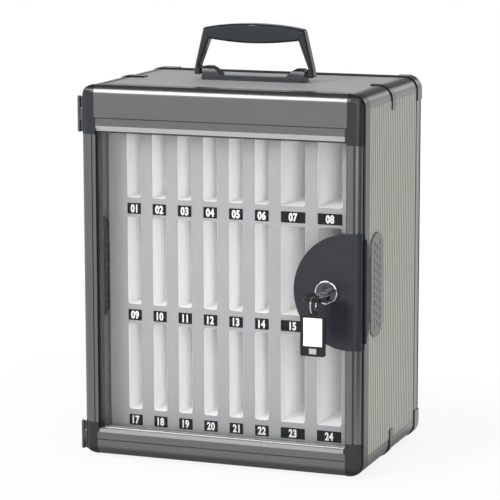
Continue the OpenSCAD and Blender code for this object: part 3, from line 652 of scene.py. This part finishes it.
class Finishes:
    """Every material of the box, built once."""

    def __init__(self) -> None:
        """Builds the metals, sheets, plastics and prints."""
        self.edge_profile = AnodisedAluminium().build(Run.Y)
        self.stile = AnodisedAluminium("anodised_stile").build(Run.Z, GROOVE_PAINTED_SHADE)
        # Painted shade: the front frame is the edge profiles' aluminium, painted darker as if in
        # shade.
        self.front_frame = AnodisedAluminium("anodised_front_frame", "#454542").build(Run.Z)
        self.clip_face = AnodisedAluminium("clip_grey_outer_faces", "#616160").build(Run.Y)
        self.rear_flank = self.light_flank()
        self.steel = PlatedMetal("zinc_plated_steel", "#b4b6b8", 0.28).build()
        self.hinge_steel = PlatedMetal("dark_plated_steel", "#5d5f62", 0.33).build()
        self.chrome = PlatedMetal("nickel_chrome", "#dedfe1", 0.09).build()
        self.plug = PlatedMetal("satin_zinc", "#5c5e61", 0.24).build()

        # Painted shade: the valleys between the ribs are darker than the ribs' tops.
        self.ribbed_sheet = TwoLevelSheet(
            "ribbed_sheet",
            raised="#bdbcb5",
            painted_shade="#777770",
            inner="#dadada",
            step_mm=(0.75, 0.15),
            inner_mm=(1.2, 1.3),
        ).build(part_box("right_side_panel")[1].x)
        # Painted shade: the vent's holes are dark, as the shade inside them would make them.
        self.vent = TwoLevelSheet(
            "vent_abs",
            raised="#6f716f",
            painted_shade="#151617",
            inner="#6f716f",
            step_mm=(1.3, 1.0),
            inner_mm=(4.9, 5.0),
            metallic=0.0,
        ).build(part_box("right_vent")[1].x)
        self.deck_sheet = LinedSheet().build()

        self.dark_frame = MouldedPlastic(
            "dark_frame_abs", "#29292b", roughness=0.55, gloss_level=0.12
        ).build()
        self.back_sheet = MouldedPlastic(
            "back_sheet_abs", "#4a4b4d", roughness=0.55, grain_mm=0.8
        ).build()
        self.clip = MouldedPlastic(
            "clip_abs", "#171b1f", roughness=0.24, grain_depth_mm=0.012
        ).build()
        self.clip_cut = MouldedPlastic(
            "clip_front_back_faces_abs", "#141517", roughness=0.5, gloss_level=0.2
        ).build()
        self.handle = MouldedPlastic(
            "handle_nylon",
            "#1d2126",
            roughness=0.2,
            grain_mm=0.4,
            grain_depth_mm=0.01,
            gloss_level=0.4,
        ).build()
        self.lock_cover = MouldedPlastic(
            "lock_cover_abs",
            "#22252b",
            roughness=0.26,
            grain_mm=0.5,
            grain_depth_mm=0.01,
            gloss_level=0.36,
        ).build()
        self.guard = MouldedPlastic(
            "lock_guard_abs", "#15171a", roughness=0.45, grain_mm=0.5, gloss_level=0.25
        ).build()
        tray_grain = {"grain_mm": 0.9, "grain_depth_mm": 0.02, "gloss_level": 0.4}
        self.tray = MouldedPlastic(
            "tray_polystyrene", "#fafafa", roughness=0.38, mottle=0.004, **tray_grain
        ).build()
        # The tray's face is grey and its pockets white.
        self.tray_face = MouldedPlastic(
            "tray_face_grey", "#9b9c9e", roughness=0.42, mottle=0.01, **tray_grain
        ).build()
        self.plate = MouldedPlastic(
            "number_plate",
            "#08080a",
            roughness=0.55,
            grain_mm=0.6,
            grain_depth_mm=0.002,
            mottle=0.04,
            gloss_level=0.08,
        ).build()
        self.rubber = MouldedPlastic(
            "foot_rubber", "#202022", roughness=0.75, grain_mm=0.6, grain_depth_mm=0.05
        ).build()
        self.gasket = MouldedPlastic(
            "gasket_rubber", "#1b1b1d", roughness=0.6, grain_mm=0.5
        ).build()
        self.key_plastic = MouldedPlastic(
            "key_head_plastic",
            "#0c0c0d",
            roughness=0.22,
            grain_mm=0.5,
            grain_depth_mm=0.01,
            gloss_level=0.4,
        ).build()

        self.acrylic = ClearAcrylic().build()
        self.ink = PrintedWhite("white_ink", "#f2f2f0", 0.45).build()
        self.card = PrintedWhite("white_card", "#f6f6f5", 0.55).build()
        self.grey_card = PrintedWhite("grey_card", "#a9aaa9", 0.5).build()

    def light_flank(self) -> Material:
        """Makes the rear frame's flank finish: light grey, with two darker lines along it.

        Returns:
            The material.
        """
        line_mm, from_rear_mm = 2.0, (16.6, 9.9)
        rear_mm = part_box("rear_frame")[1].y / MM
        lines = [
            Marking("Y", rear_mm - start, rear_mm - start + line_mm, "#5c5c58", 0.5)
            for start in from_rear_mm
        ]
        # The flank is light grey, with two darker lines along it.
        flank_finish = AnodisedAluminium("rear_flank_light_grey", "#a3a39d", roughness=0.4, metallic=0.5)
        return flank_finish.build(Run.Z, *lines)


# ---------- Sub-assemblies ----------


@dataclass
class EasedParts:
    """CAD nodes that keep their shape and get rounded edges and a finish."""

    finishes: Finishes

    def dress(
        self, body: str, slot: str, finish: Material, radius_mm: float, *nodes: str
    ) -> None:
        """Replaces nodes by copies with rounded edges.

        Args:
            body: CAD body that the nodes belong to.
            slot: Their material slot.
            finish: Their material.
            radius_mm: Size of the rounding.
            *nodes: Names of the nodes.
        """
        for node in nodes:
            settle(eased_copy(node, radius_mm), body, slot, finish, node)


@dataclass
class Cabinet(EasedParts):
    """Frames, edge profiles, panels, clips, vents, feet and the lock guard."""

    profile_edge_mm: float = 0.25
    plastic_edge_mm: float = 0.5
    moulded_edge_mm: float = 0.3
    sheet_edge_mm: float = 0.2
    steel_edge_mm: float = 0.15
    screw_edge_mm: float = 0.1
    rear_lip_mm: float = 5.2
    flank_margin_mm: float = 0.2
    flank_facing: float = 0.95
    cut_facing: float = 0.8

    def rear_frame(self) -> None:
        """Dresses the rear frame: dark plastic, with light grey flanks that end at its rear lip.
        """
        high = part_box("rear_frame")[1]
        lip_y = high.y - self.rear_lip_mm * MM
        side_x = high.x - self.flank_margin_mm * MM
        rear = eased_copy("rear_frame", self.plastic_edge_mm)
        bm = bmesh.new()
        bm.from_mesh(rear.data)
        everything = bm.verts[:] + bm.edges[:] + bm.faces[:]
        bmesh.ops.bisect_plane(bm, geom=everything, plane_co=(0, lip_y, 0), plane_no=(0, 1, 0))
        bm.to_mesh(rear.data)
        bm.free()
        settle(rear, "root", "rear_frame_plastic", self.finishes.dark_frame, "rear_frame")
        rear.data.materials.append(self.finishes.rear_flank)
        for polygon in rear.data.polygons:
            normal, centre = polygon.normal, polygon.center
            flank = abs(normal.x) > self.flank_facing and abs(centre.x) > side_x
            polygon.material_index = int(flank and centre.y < lip_y)

    def clips(self, node: str) -> None:
        """Dresses a set of clips: grey outer faces, dark faces towards the front and back.

        Args:
            node: Name of the clips' node.
        """
        clips = eased_copy(node, self.sheet_edge_mm)
        settle(clips, "root", "clip_plastic", self.finishes.clip_face, node)
        clips.data.materials.append(self.finishes.clip_cut)
        # Faces that look to the front and back are dark, the outer faces grey.
        for polygon in clips.data.polygons:
            polygon.material_index = int(abs(polygon.normal.y) > self.cut_facing)

    def build(self) -> None:
        """Dresses every fixed piece of the cabinet."""
        f = self.finishes
        root = "root"
        edges = [f"edge_{v}_{h}" for v in ("top", "bottom") for h in ("left", "right")]
        self.dress(root, "anodised_frame", f.front_frame, self.profile_edge_mm, "front_frame")
        self.dress(root, "anodised_frame", f.edge_profile, self.profile_edge_mm, *edges)
        self.rear_frame()
        self.dress(root, "back_sheet", f.back_sheet, self.moulded_edge_mm, "back_panel")
        sides = ("left_side_panel", "right_side_panel")
        self.dress(root, "ribbed_panel", f.ribbed_sheet, self.sheet_edge_mm, *sides)
        decks = ("top_panel", "bottom_panel")
        self.dress(root, "deck_panel", f.deck_sheet, self.sheet_edge_mm, *decks)
        self.clips("middle_clips")
        self.clips("rear_clips")
        self.dress(root, "vent_plastic", f.vent, self.moulded_edge_mm, "left_vent", "right_vent")
        self.dress(root, "foot_rubber", f.rubber, self.plastic_edge_mm, "feet")
        fixings = ("foot_screws", "handle_screws", "handle_pins")
        self.dress(root, "steel", f.steel, self.steel_edge_mm, *fixings)
        self.dress(root, "steel", f.steel, self.screw_edge_mm, "hinge_pins", "hinge_screws_body")
        self.dress(root, "hinge_steel", f.hinge_steel, self.steel_edge_mm, "hinge_leaves_body")
        self.dress(root, "lock_plastic", f.guard, self.moulded_edge_mm, "lock_guard")
        self.dress(root, "insert_plastic", f.tray, self.sheet_edge_mm, "insert_back")


@dataclass
class SlotTrays:
    """One moulded tray per row, with eight deep pockets, and the numbers below them."""

    finishes: Finishes
    rows: tuple[str, ...] = ("top", "middle", "bottom")
    pockets_per_row: int = 8
    opening_gap_mm: float = 0.4
    corner_mm: float = 3.0
    lip_mm: float = 0.9
    lip_steps: tuple[tuple[float, float], ...] = ((0.3, 0.3), (0.15, 0.7))
    draft_mm: float = 0.6
    wall_mm: float = 1.4
    arc_steps: int = 5
    face_margin_mm: float = 0.01
    plate_height_mm: float = 12.4
    plate_drop_mm: float = 12.4
    plate_edge_mm: float = 0.2
    numeral_fill: float = 0.72
    cap_to_font: float = 1.35
    numeral_spacing: float = 1.08
    numeral_raise_mm: float = 0.06
    numeral_bold_mm: float = 0.5
    numeral_width: float = 0.76

    def pockets(self, row: str) -> list[tuple[Vector, Vector]]:
        """Reads a row's eight pockets from the stated openings.

        Args:
            row: Which row.

        Returns:
            Low and high corner of each pocket, from left to right.
        """
        first = self.rows.index(row) * self.pockets_per_row + 1
        names = [f"slot_{first + i:02d}" for i in range(self.pockets_per_row)]
        found = {o["name"]: o["box_m"] for o in frame["record"]["physics"]["openings"]}
        grow = Vector((self.opening_gap_mm, 0, self.opening_gap_mm)) * MM
        return [(Vector(found[n][0]) - grow, Vector(found[n][1]) + grow) for n in names]

    def panel(
        self, bm: bmesh.types.BMesh, low: Vector, high: Vector, y: float
    ) -> bmesh.types.BMFace:
        """Adds an upright rectangle that faces the door.

        Args:
            bm: Mesh that gets it.
            low: Corner with the lowest X and Z.
            high: Corner with the highest X and Z.
            y: Its depth.

        Returns:
            The new face.
        """
        grid = bmesh.ops.create_grid(bm, x_segments=1, y_segments=1, size=0.5)["verts"]
        place = Matrix.Translation(((low.x + high.x) / 2, y, (low.z + high.z) / 2))
        upright = Matrix.Rotation(math.radians(90), 4, "X")
        stretch = Matrix.Diagonal((high.x - low.x, high.z - low.z, 1.0, 1.0))
        bmesh.ops.transform(bm, matrix=place @ upright @ stretch, verts=grid)
        return grid[0].link_faces[0]

    def tray(self, row: str) -> Object:
        """Models one tray: a face with rounded mouths and drafted pockets behind it.

        Args:
            row: Which row.

        Returns:
            The tray.
        """
        face_low, face_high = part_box("number_rail_" + row)
        highest = "insert_top_rail" if row == self.rows[0] else "dividers_" + row
        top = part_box(highest)[1].z
        depth = face_high.y - self.wall_mm * MM - face_low.y
        lip = self.lip_mm * MM
        steps = [(inset * lip, back * lip) for inset, back in self.lip_steps]
        steps.append((self.draft_mm * MM, depth - lip))
        bm = bmesh.new()
        for low, high in self.pockets(row):
            mouth = self.panel(bm, low, high, face_low.y)
            rounded = bmesh.ops.bevel(
                bm,
                geom=mouth.verts[:],
                offset=self.corner_mm * MM,
                affect="VERTICES",
                segments=self.arc_steps,
                profile=0.5,
                material=-1,
            )
            end = rounded["verts"][0].link_faces[0]
            for inset, back in steps:
                bmesh.ops.inset_individual(
                    bm, faces=[end], thickness=inset, depth=-back, use_even_offset=True
                )
        border = self.panel(bm, face_low, Vector((face_high.x, 0, top)), face_low.y)
        bmesh.ops.delete(bm, geom=[border], context="FACES_ONLY")
        open_edges = [e for e in bm.edges if len(e.link_faces) < 2]
        bmesh.ops.triangle_fill(
            bm, use_beauty=True, use_dissolve=False, edges=open_edges, normal=Vector((0, -1, 0))
        )
        return to_object("slot_tray_" + row, bm, smooth_deg=40.0)

    def numeral(self, number: int) -> Mesh:
        """Models one number of two digits, lying flat.

        Args:
            number: The number.

        Returns:
            Its mesh.
        """
        curve = bpy.data.curves.new("numeral", "FONT")
        curve.body = f"{number:02d}"
        curve.align_x, curve.align_y = "CENTER", "CENTER"
        curve.size = self.plate_height_mm * MM * self.numeral_fill * self.cap_to_font
        curve.offset = self.numeral_bold_mm * MM
        curve.extrude = self.numeral_raise_mm * MM
        curve.resolution_u = 4
        curve.space_character = self.numeral_spacing
        holder = link_object("numeral", curve)
        bpy.context.view_layer.update()
        graph = bpy.context.evaluated_depsgraph_get()
        mesh = bpy.data.meshes.new_from_object(holder.evaluated_get(graph))
        bpy.data.objects.remove(holder)
        return mesh

    def numerals(self) -> Object:
        """Models the numbers 01 to 24 on the plates.

        Returns:
            One mesh with every number.
        """
        face_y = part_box("number_plates")[0].y - self.numeral_raise_mm * MM
        upright = Matrix.Rotation(math.radians(90), 4, "X")
        narrow = Matrix.Diagonal((self.numeral_width, 1.0, 1.0, 1.0))
        slots = [pocket for row in self.rows for pocket in self.pockets(row)]
        joined = bmesh.new()
        for number, (low, high) in enumerate(slots, start=1):
            mesh = self.numeral(number)
            xs = [v.co.x for v in mesh.vertices]
            ys = [v.co.y for v in mesh.vertices]
            middle = Vector(((min(xs) + max(xs)) / 2, (min(ys) + max(ys)) / 2, 0))
            centre = Vector(((low.x + high.x) / 2, face_y, low.z - self.plate_drop_mm * MM))
            place = Matrix.Translation(centre) @ upright @ narrow @ Matrix.Translation(-middle)
            mesh.transform(place)
            joined.from_mesh(mesh)
            bpy.data.meshes.remove(mesh)
        bmesh.ops.remove_doubles(joined, verts=joined.verts, dist=0.001 * MM)
        return to_object("numerals", joined, smooth_deg=30.0)

    def build(self) -> None:
        """Builds the trays, the plates and the numbers."""
        f = self.finishes
        for row in self.rows:
            nodes = ["dividers_" + row, "number_rail_" + row]
            if row == self.rows[0]:
                nodes.append("insert_top_rail")
            tray = self.tray(row)
            wall = tray.modifiers.new("wall", "SOLIDIFY")
            wall.thickness = self.wall_mm * MM
            wall.offset = -1.0
            settle(tray, "root", "insert_plastic", f.tray, *nodes)
            tray.data.materials.append(f.tray_face)
            face_y = min(v.co.y for v in tray.data.vertices) + self.face_margin_mm * MM
            for polygon in tray.data.polygons:
                polygon.material_index = int(polygon.center.y < face_y)
        plates = eased_copy("number_plates", self.plate_edge_mm)
        settle(plates, "root", "number_black", f.plate, "number_plates")
        settle(self.numerals(), "root", "number_black", f.ink)


@dataclass
class Door(EasedParts):
    """Framed door with its corners, window, gasket, hinges and lock cover."""

    chamfer_colour: str = "#a2a2a2"
    chamfer_metallic: float = 0.2
    top_chamfer_mm: tuple[float, float] = (0.0, 5.8)
    bottom_chamfer_mm: tuple[float, float] = (-4.5, -0.9)
    profile_edge_mm: float = 0.25
    corner_edge_mm: float = 0.4
    window_edge_mm: float = 0.2
    gasket_edge_mm: float = 0.4
    leaf_edge_mm: float = 0.15
    screw_edge_mm: float = 0.1
    cover_edge_mm: float = 0.6
    barrel_edge_mm: float = 0.7

    def rail(self, node: str, window_mm: float, chamfer_mm: tuple[float, float]) -> None:
        """Dresses a rail, with a bright chamfer beside the window.

        Args:
            node: Name of the rail's node.
            window_mm: Height of its edge beside the window.
            chamfer_mm: Lower and upper end of the chamfer from that edge.
        """
        low, high = (window_mm + c for c in chamfer_mm)
        chamfer = Marking("Z", low, high, self.chamfer_colour, self.chamfer_metallic)
        finish = AnodisedAluminium("anodised_" + node).build(Run.X, chamfer, GROOVE_PAINTED_SHADE)
        self.dress("door", "anodised_frame", finish, self.profile_edge_mm, node)

    def build(self) -> None:
        """Dresses every piece of the door."""
        f = self.finishes
        door = "door"
        top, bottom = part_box("door_top_rail")[0].z / MM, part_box("door_bottom_rail")[1].z / MM
        self.rail("door_top_rail", top, self.top_chamfer_mm)
        self.rail("door_bottom_rail", bottom, self.bottom_chamfer_mm)
        stiles = ("door_left_stile", "door_right_stile")
        self.dress(door, "anodised_frame", f.stile, self.profile_edge_mm, *stiles)
        corners = [f"door_corner_{v}_{h}" for v in ("top", "bottom") for h in ("left", "right")]
        self.dress(door, "clip_plastic", f.clip, self.corner_edge_mm, *corners)
        self.dress(door, "clear_acrylic", f.acrylic, self.window_edge_mm, "window")
        self.dress(door, "gasket_rubber", f.gasket, self.gasket_edge_mm, "window_gasket")
        self.dress(door, "hinge_steel", f.hinge_steel, self.leaf_edge_mm, "hinge_leaves_door")
        fixings = ("hinge_screws_door", "lock_nut")
        self.dress(door, "steel", f.steel, self.screw_edge_mm, *fixings)
        self.dress(door, "lock_plastic", f.lock_cover, self.cover_edge_mm, "lock_cover")
        self.dress(door, "chrome", f.chrome, self.barrel_edge_mm, "lock_barrel")


@dataclass
class LockAndKey(EasedParts):
    """Turning plug with its cam, the key, a split ring and a blank tag."""

    coil_gap: float = 0.06
    ring_turns: int = 2
    ring_overlap: float = 0.985
    ring_steps: int = 48
    wire_sides: int = 10
    wire_flatness: float = 1.35
    window_mm: tuple[float, float, float] = (8.4, 0.3, 6.2)
    window_place_mm: tuple[float, float] = (0.86, 5.3)
    window_edge_mm: float = 0.1
    plug_edge_mm: float = 0.25
    cam_edge_mm: float = 0.2
    blade_edge_mm: float = 0.2
    bow_edge_mm: float = 1.3
    case_edge_mm: float = 0.5
    card_edge_mm: float = 0.15

    def split_ring(self) -> Object:
        """Models a ring of two close turns of flat-ground wire.

        Returns:
            The ring.
        """
        low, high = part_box("key_ring")
        centre = (low + high) / 2
        half_width = (high.x - low.x) / 2
        wire = half_width / 2 * (1 - self.coil_gap)
        radius = (high.z - low.z) / 2 - wire * self.wire_flatness
        steps = self.ring_steps * self.ring_turns
        travel = 2 * (half_width - wire)
        bm = bmesh.new()
        profile = bmesh.ops.create_circle(bm, segments=self.wire_sides, radius=wire)["verts"]
        start = Matrix.Translation(centre + Vector((-half_width + wire, 0, radius)))
        upright = Matrix.Rotation(math.radians(90), 4, "X")
        flat = Matrix.Diagonal((1.0, self.wire_flatness, 1.0, 1.0))
        bmesh.ops.transform(bm, matrix=start @ upright @ flat, verts=profile)
        bmesh.ops.spin(
            bm,
            geom=bm.verts[:] + bm.edges[:],
            cent=centre,
            axis=(1, 0, 0),
            dvec=(travel / steps, 0, 0),
            angle=math.tau * self.ring_turns * self.ring_overlap,
            steps=steps,
            use_merge=False,
            use_duplicate=False,
        )
        ends = [e for e in bm.edges if e.is_boundary]
        bmesh.ops.holes_fill(bm, edges=ends, sides=0)
        bmesh.ops.recalc_face_normals(bm, faces=bm.faces)
        return to_object("split_ring", bm, smooth_deg=50.0)

    def tag_window(self) -> Object:
        """Models the small grey square near the tag's foot.

        Returns:
            The square.
        """
        low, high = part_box("tag_case")
        back, up = (d * MM for d in self.window_place_mm)
        place = Matrix.Translation(((low.x + high.x) / 2, low.y + back, low.z + up))
        size = Matrix.Diagonal((*(Vector(self.window_mm) * MM), 1.0))
        bm = bmesh.new()
        bmesh.ops.create_cube(bm, size=1.0)
        bmesh.ops.transform(bm, matrix=place @ size, verts=bm.verts)
        bmesh.ops.bevel(
            bm,
            geom=bm.edges[:],
            offset=self.window_edge_mm * MM,
            affect="EDGES",
            segments=2,
            profile=0.5,
            material=-1,
        )
        return to_object("tag_small_window", bm)

    def build(self) -> None:
        """Builds and dresses the lock's moving pieces and the key."""
        f = self.finishes
        self.dress("plug", "plug_metal", f.plug, self.plug_edge_mm, "lock_plug")
        self.dress("plug", "steel", f.steel, self.cam_edge_mm, "lock_cam", "cam_screw")
        self.dress("key", "chrome", f.chrome, self.blade_edge_mm, "key_blade")
        self.dress("key", "key_plastic", f.key_plastic, self.bow_edge_mm, "key_bow")
        settle(self.split_ring(), "ring", "chrome", f.chrome, "key_ring")
        self.dress("tag", "key_plastic", f.key_plastic, self.case_edge_mm, "tag_case")
        self.dress("tag", "tag_card", f.card, self.card_edge_mm, "tag_card")
        settle(self.tag_window(), "tag", "tag_card", f.grey_card)


@dataclass
class Handle(EasedParts):
    """Base screwed to the top and a grip that folds either way."""

    base_edge_mm: float = 0.6
    grip_edge_mm: float = 0.5

    def build(self) -> None:
        """Dresses the base and the grip."""
        finish = self.finishes.handle
        self.dress("root", "handle_plastic", finish, self.base_edge_mm, "handle_base")
        self.dress("handle", "handle_plastic", finish, self.grip_edge_mm, "handle_grip")


@dataclass(frozen=True)
class Lamp:
    """Soft rectangular lamp, placed by its angles from straight in front of the door."""

    name: str
    azimuth_deg: float
    elevation_deg: float
    distance: float
    size: tuple[float, float]
    watts: float
    in_reflections: bool = True


@dataclass
class Studio:
    """Camera at the photograph's angle, a pale floor and soft light.

    The card is a soft dark stretch of what metal mirrors, beside the camera. Each shadow gives
    its near and far end from the box, in metres, and how much of the white is left at the box.
    """

    camera_mm: tuple[float, float, float] = (940.27, -2538.46, 706.55)
    pitch_deg: float = 9.889
    yaw_deg: float = 20.204
    roll_deg: float = -0.08
    lens_mm: float = 175.4
    sensor_mm: float = 36.0
    view_end: float = 100.0
    floor_size: float = 30.0
    floor_colour: str = "#f0f0f0"
    shadow_to_camera: tuple[float, float, float] = (0.0, 0.4, 0.88)
    shadow_to_metal: tuple[float, float, float] = (0.0, 0.05, 0.35)
    card_azimuth_deg: float = 30.0
    card_half_deg: tuple[float, float] = (9.0, 18.0)
    card_tone: float = 0.25
    card_distance: tuple[float, float] = (0.2, 0.45)
    world_light: float = 0.42
    backdrop_top_deg: tuple[float, float] = (2.0, 15.0)
    room_tone: float = 0.2
    aim_height: float = 0.25
    lamps: tuple[Lamp, ...] = (
        Lamp("key_softbox", -24.0, 26.0, 2.6, (1.2, 1.1), 38.0),
        Lamp("rear_strip", 164.0, 16.0, 2.6, (0.5, 0.5), 1.1),
        Lamp("edge_strip", 2.0, 4.0, 2.6, (0.4, 0.9), 3.6),
        Lamp("rear_canopy", 180.0, 58.0, 2.4, (2.0, 1.2), 6.0),
        Lamp("top_fill", 20.0, 70.0, 2.4, (1.6, 1.6), 12.0, False),
        Lamp("front_fill", 22.0, 6.0, 2.6, (1.2, 1.2), 30.0, False),
    )

    def camera(self) -> None:
        """Places the camera."""
        data = bpy.data.cameras.new("camera")
        data.lens, data.sensor_width = self.lens_mm, self.sensor_mm
        data.clip_end = self.view_end
        camera = link_object("camera", data)
        turn = (
            Matrix.Rotation(math.radians(self.yaw_deg), 4, "Z")
            @ Matrix.Rotation(math.radians(90 - self.pitch_deg), 4, "X")
            @ Matrix.Rotation(math.radians(self.roll_deg), 4, "Z")
        )
        camera.matrix_world = Matrix.Translation(Vector(self.camera_mm) * MM) @ turn
        bpy.context.scene.camera = camera

    def dark_card(self, tree: NodeTree, direction: NodeSocket) -> Node:
        """Dims what metal mirrors beside the camera, as a black card stood there would.

        Args:
            tree: Node tree that gets the nodes.
            direction: Direction or place, seen from the box.

        Returns:
            Strength from the card's tone to one.
        """
        azimuth = math.radians(self.card_azimuth_deg)
        towards = (math.sin(azimuth), -math.cos(azimuth), 0.0)
        level = {0: direction, 1: (1.0, 1.0, 0.0)}
        flat = add_node(tree, "VectorMath", level, operation="MULTIPLY")
        unit = add_node(tree, "VectorMath", {0: flat}, operation="NORMALIZE")
        along = add_node(tree, "VectorMath", {0: unit, 1: towards}, operation="DOT_PRODUCT")
        inner, outer = (math.cos(math.radians(a)) for a in self.card_half_deg)
        edge = {
            "Value": along.outputs["Value"],
            "From Min": outer,
            "From Max": inner,
            "To Max": self.card_tone,
            "To Min": 1.0,
        }
        return add_node(tree, "MapRange", edge, interpolation_type="SMOOTHSTEP")

    def reach(self, tree: NodeTree, place: NodeSocket) -> Node:
        """How far a place on the floor is outside the cabinet's own footprint.

        Args:
            tree: Node tree that gets the nodes.
            place: The place.

        Returns:
            The distance in metres.
        """
        low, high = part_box("door_top_rail")[0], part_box("rear_frame")[1]
        middle = (0.0, (low.y + high.y) / 2, 0.0)
        half = (high.x, (high.y - low.y) / 2, 0.0)
        offset = add_node(tree, "VectorMath", {0: place, 1: middle}, operation="SUBTRACT")
        sides = add_node(tree, "VectorMath", {0: offset}, operation="ABSOLUTE")
        past = add_node(tree, "VectorMath", {0: sides, 1: half}, operation="SUBTRACT")
        gap = add_node(tree, "SeparateXYZ", {0: past}).outputs
        return add_node(tree, "Math", {0: gap["X"], 1: gap["Y"]}, operation="MAXIMUM")

    def floor(self) -> None:
        """Lays a pale floor that shows white to the camera but keeps the box's shadow."""
        bm = bmesh.new()
        bmesh.ops.create_grid(bm, x_segments=1, y_segments=1, size=self.floor_size / 2)
        floor = to_object("floor", bm)
        material = bpy.data.materials.new("floor")
        tree = empty_tree(material)
        path = add_node(tree, "LightPath").outputs
        place = add_node(tree, "TexCoord").outputs["Object"]
        reach = self.reach(tree, place)
        spans = [
            {"Value": reach, "From Min": near, "From Max": far, "To Min": left, "To Max": 1.0}
            for near, far, left in (self.shadow_to_camera, self.shadow_to_metal)
        ]
        to_camera, to_metal = (
            add_node(tree, "MapRange", span, interpolation_type="SMOOTHSTEP") for span in spans
        )
        near, far = self.card_distance
        beyond = {
            "Value": reach,
            "From Min": near,
            "From Max": far,
            "To Min": 1.0,
            "To Max": self.dark_card(tree, place),
        }
        card = add_node(tree, "MapRange", beyond)
        mirrored = {0: path["Is Glossy Ray"], 1: path["Is Transmission Ray"]}
        shown = add_node(
            tree, "Math", {0: path["Is Camera Ray"], 1: to_camera}, operation="MULTIPLY"
        )
        dimmed = add_node(tree, "Math", {0: to_metal, 1: card}, operation="MULTIPLY")
        to_mirror = add_node(tree, "Math", mirrored, operation="MAXIMUM")
        seen, strength = (
            add_node(tree, "Math", {0: a, 1: b}, operation="MAXIMUM")
            for a, b in ((shown, to_mirror), (dimmed, path["Is Camera Ray"]))
        )
        diffuse = add_node(tree, "BsdfDiffuse", {"Color": linear(self.floor_colour)})
        glow = add_node(tree, "Emission", {"Color": WHITE, "Strength": strength})
        mixed = add_node(tree, "MixShader", {0: seen, 1: diffuse, 2: glow})
        add_node(tree, "OutputMaterial", {"Surface": mixed})
        floor.data.materials.append(material)

    def world(self) -> None:
        """Shows white to the camera and a white backdrop under a dim ceiling to metal.

        Everything else gets soft light.
        """
        world = bpy.data.worlds.new("studio")
        bpy.context.scene.world = world
        tree = empty_tree(world)
        path = add_node(tree, "LightPath").outputs
        direction = add_node(tree, "TexCoord").outputs["Generated"]
        low, high = (math.sin(math.radians(a)) for a in self.backdrop_top_deg)
        height = {
            "Value": add_node(tree, "SeparateXYZ", {0: direction}).outputs["Z"],
            "From Min": low,
            "From Max": high,
            "To Min": self.dark_card(tree, direction),
            "To Max": self.room_tone,
        }
        backdrop = add_node(tree, "MapRange", height, interpolation_type="SMOOTHSTEP")
        plain = {0: path["Is Camera Ray"], 1: path["Is Transmission Ray"]}
        seen = add_node(tree, "Math", plain, operation="MAXIMUM")
        light, room, white = (
            add_node(tree, "Background", {"Color": WHITE, "Strength": strength})
            for strength in (self.world_light, backdrop, 1.0)
        )
        gloss = add_node(tree, "MixShader", {0: path["Is Glossy Ray"], 1: light, 2: room})
        mixed = add_node(tree, "MixShader", {0: seen, 1: gloss, 2: white})
        add_node(tree, "OutputWorld", {"Surface": mixed})

    def lamp(self, lamp: Lamp) -> None:
        """Adds a soft rectangular lamp that faces the box.

        Args:
            lamp: Its place, size and strength.
        """
        aim = Vector((0, 0, self.aim_height))
        a, e = math.radians(lamp.azimuth_deg), math.radians(lamp.elevation_deg)
        way = Vector((math.sin(a) * math.cos(e), -math.cos(a) * math.cos(e), math.sin(e)))
        place = aim + lamp.distance * way
        data = bpy.data.lights.new(lamp.name, "AREA")
        data.shape = "RECTANGLE"
        data.size, data.size_y = lamp.size
        data.energy = lamp.watts
        obj = link_object(lamp.name, data)
        obj.location = place
        obj.rotation_euler = (aim - place).to_track_quat("-Z", "Y").to_euler()
        obj.visible_glossy = lamp.in_reflections
        obj.visible_camera = False

    def build(self) -> None:
        """Sets the stage."""
        self.camera()
        self.floor()
        self.world()
        for lamp in self.lamps:
            self.lamp(lamp)
        bpy.context.scene.view_settings.view_transform = "Standard"


def main() -> None:
    """Builds the studio and every sub-assembly."""
    finishes = Finishes()
    Studio().build()
    Cabinet(finishes).build()
    SlotTrays(finishes).build()
    Door(finishes).build()
    LockAndKey(finishes).build()
    Handle(finishes).build()


if __name__ == "__main__":
    main()
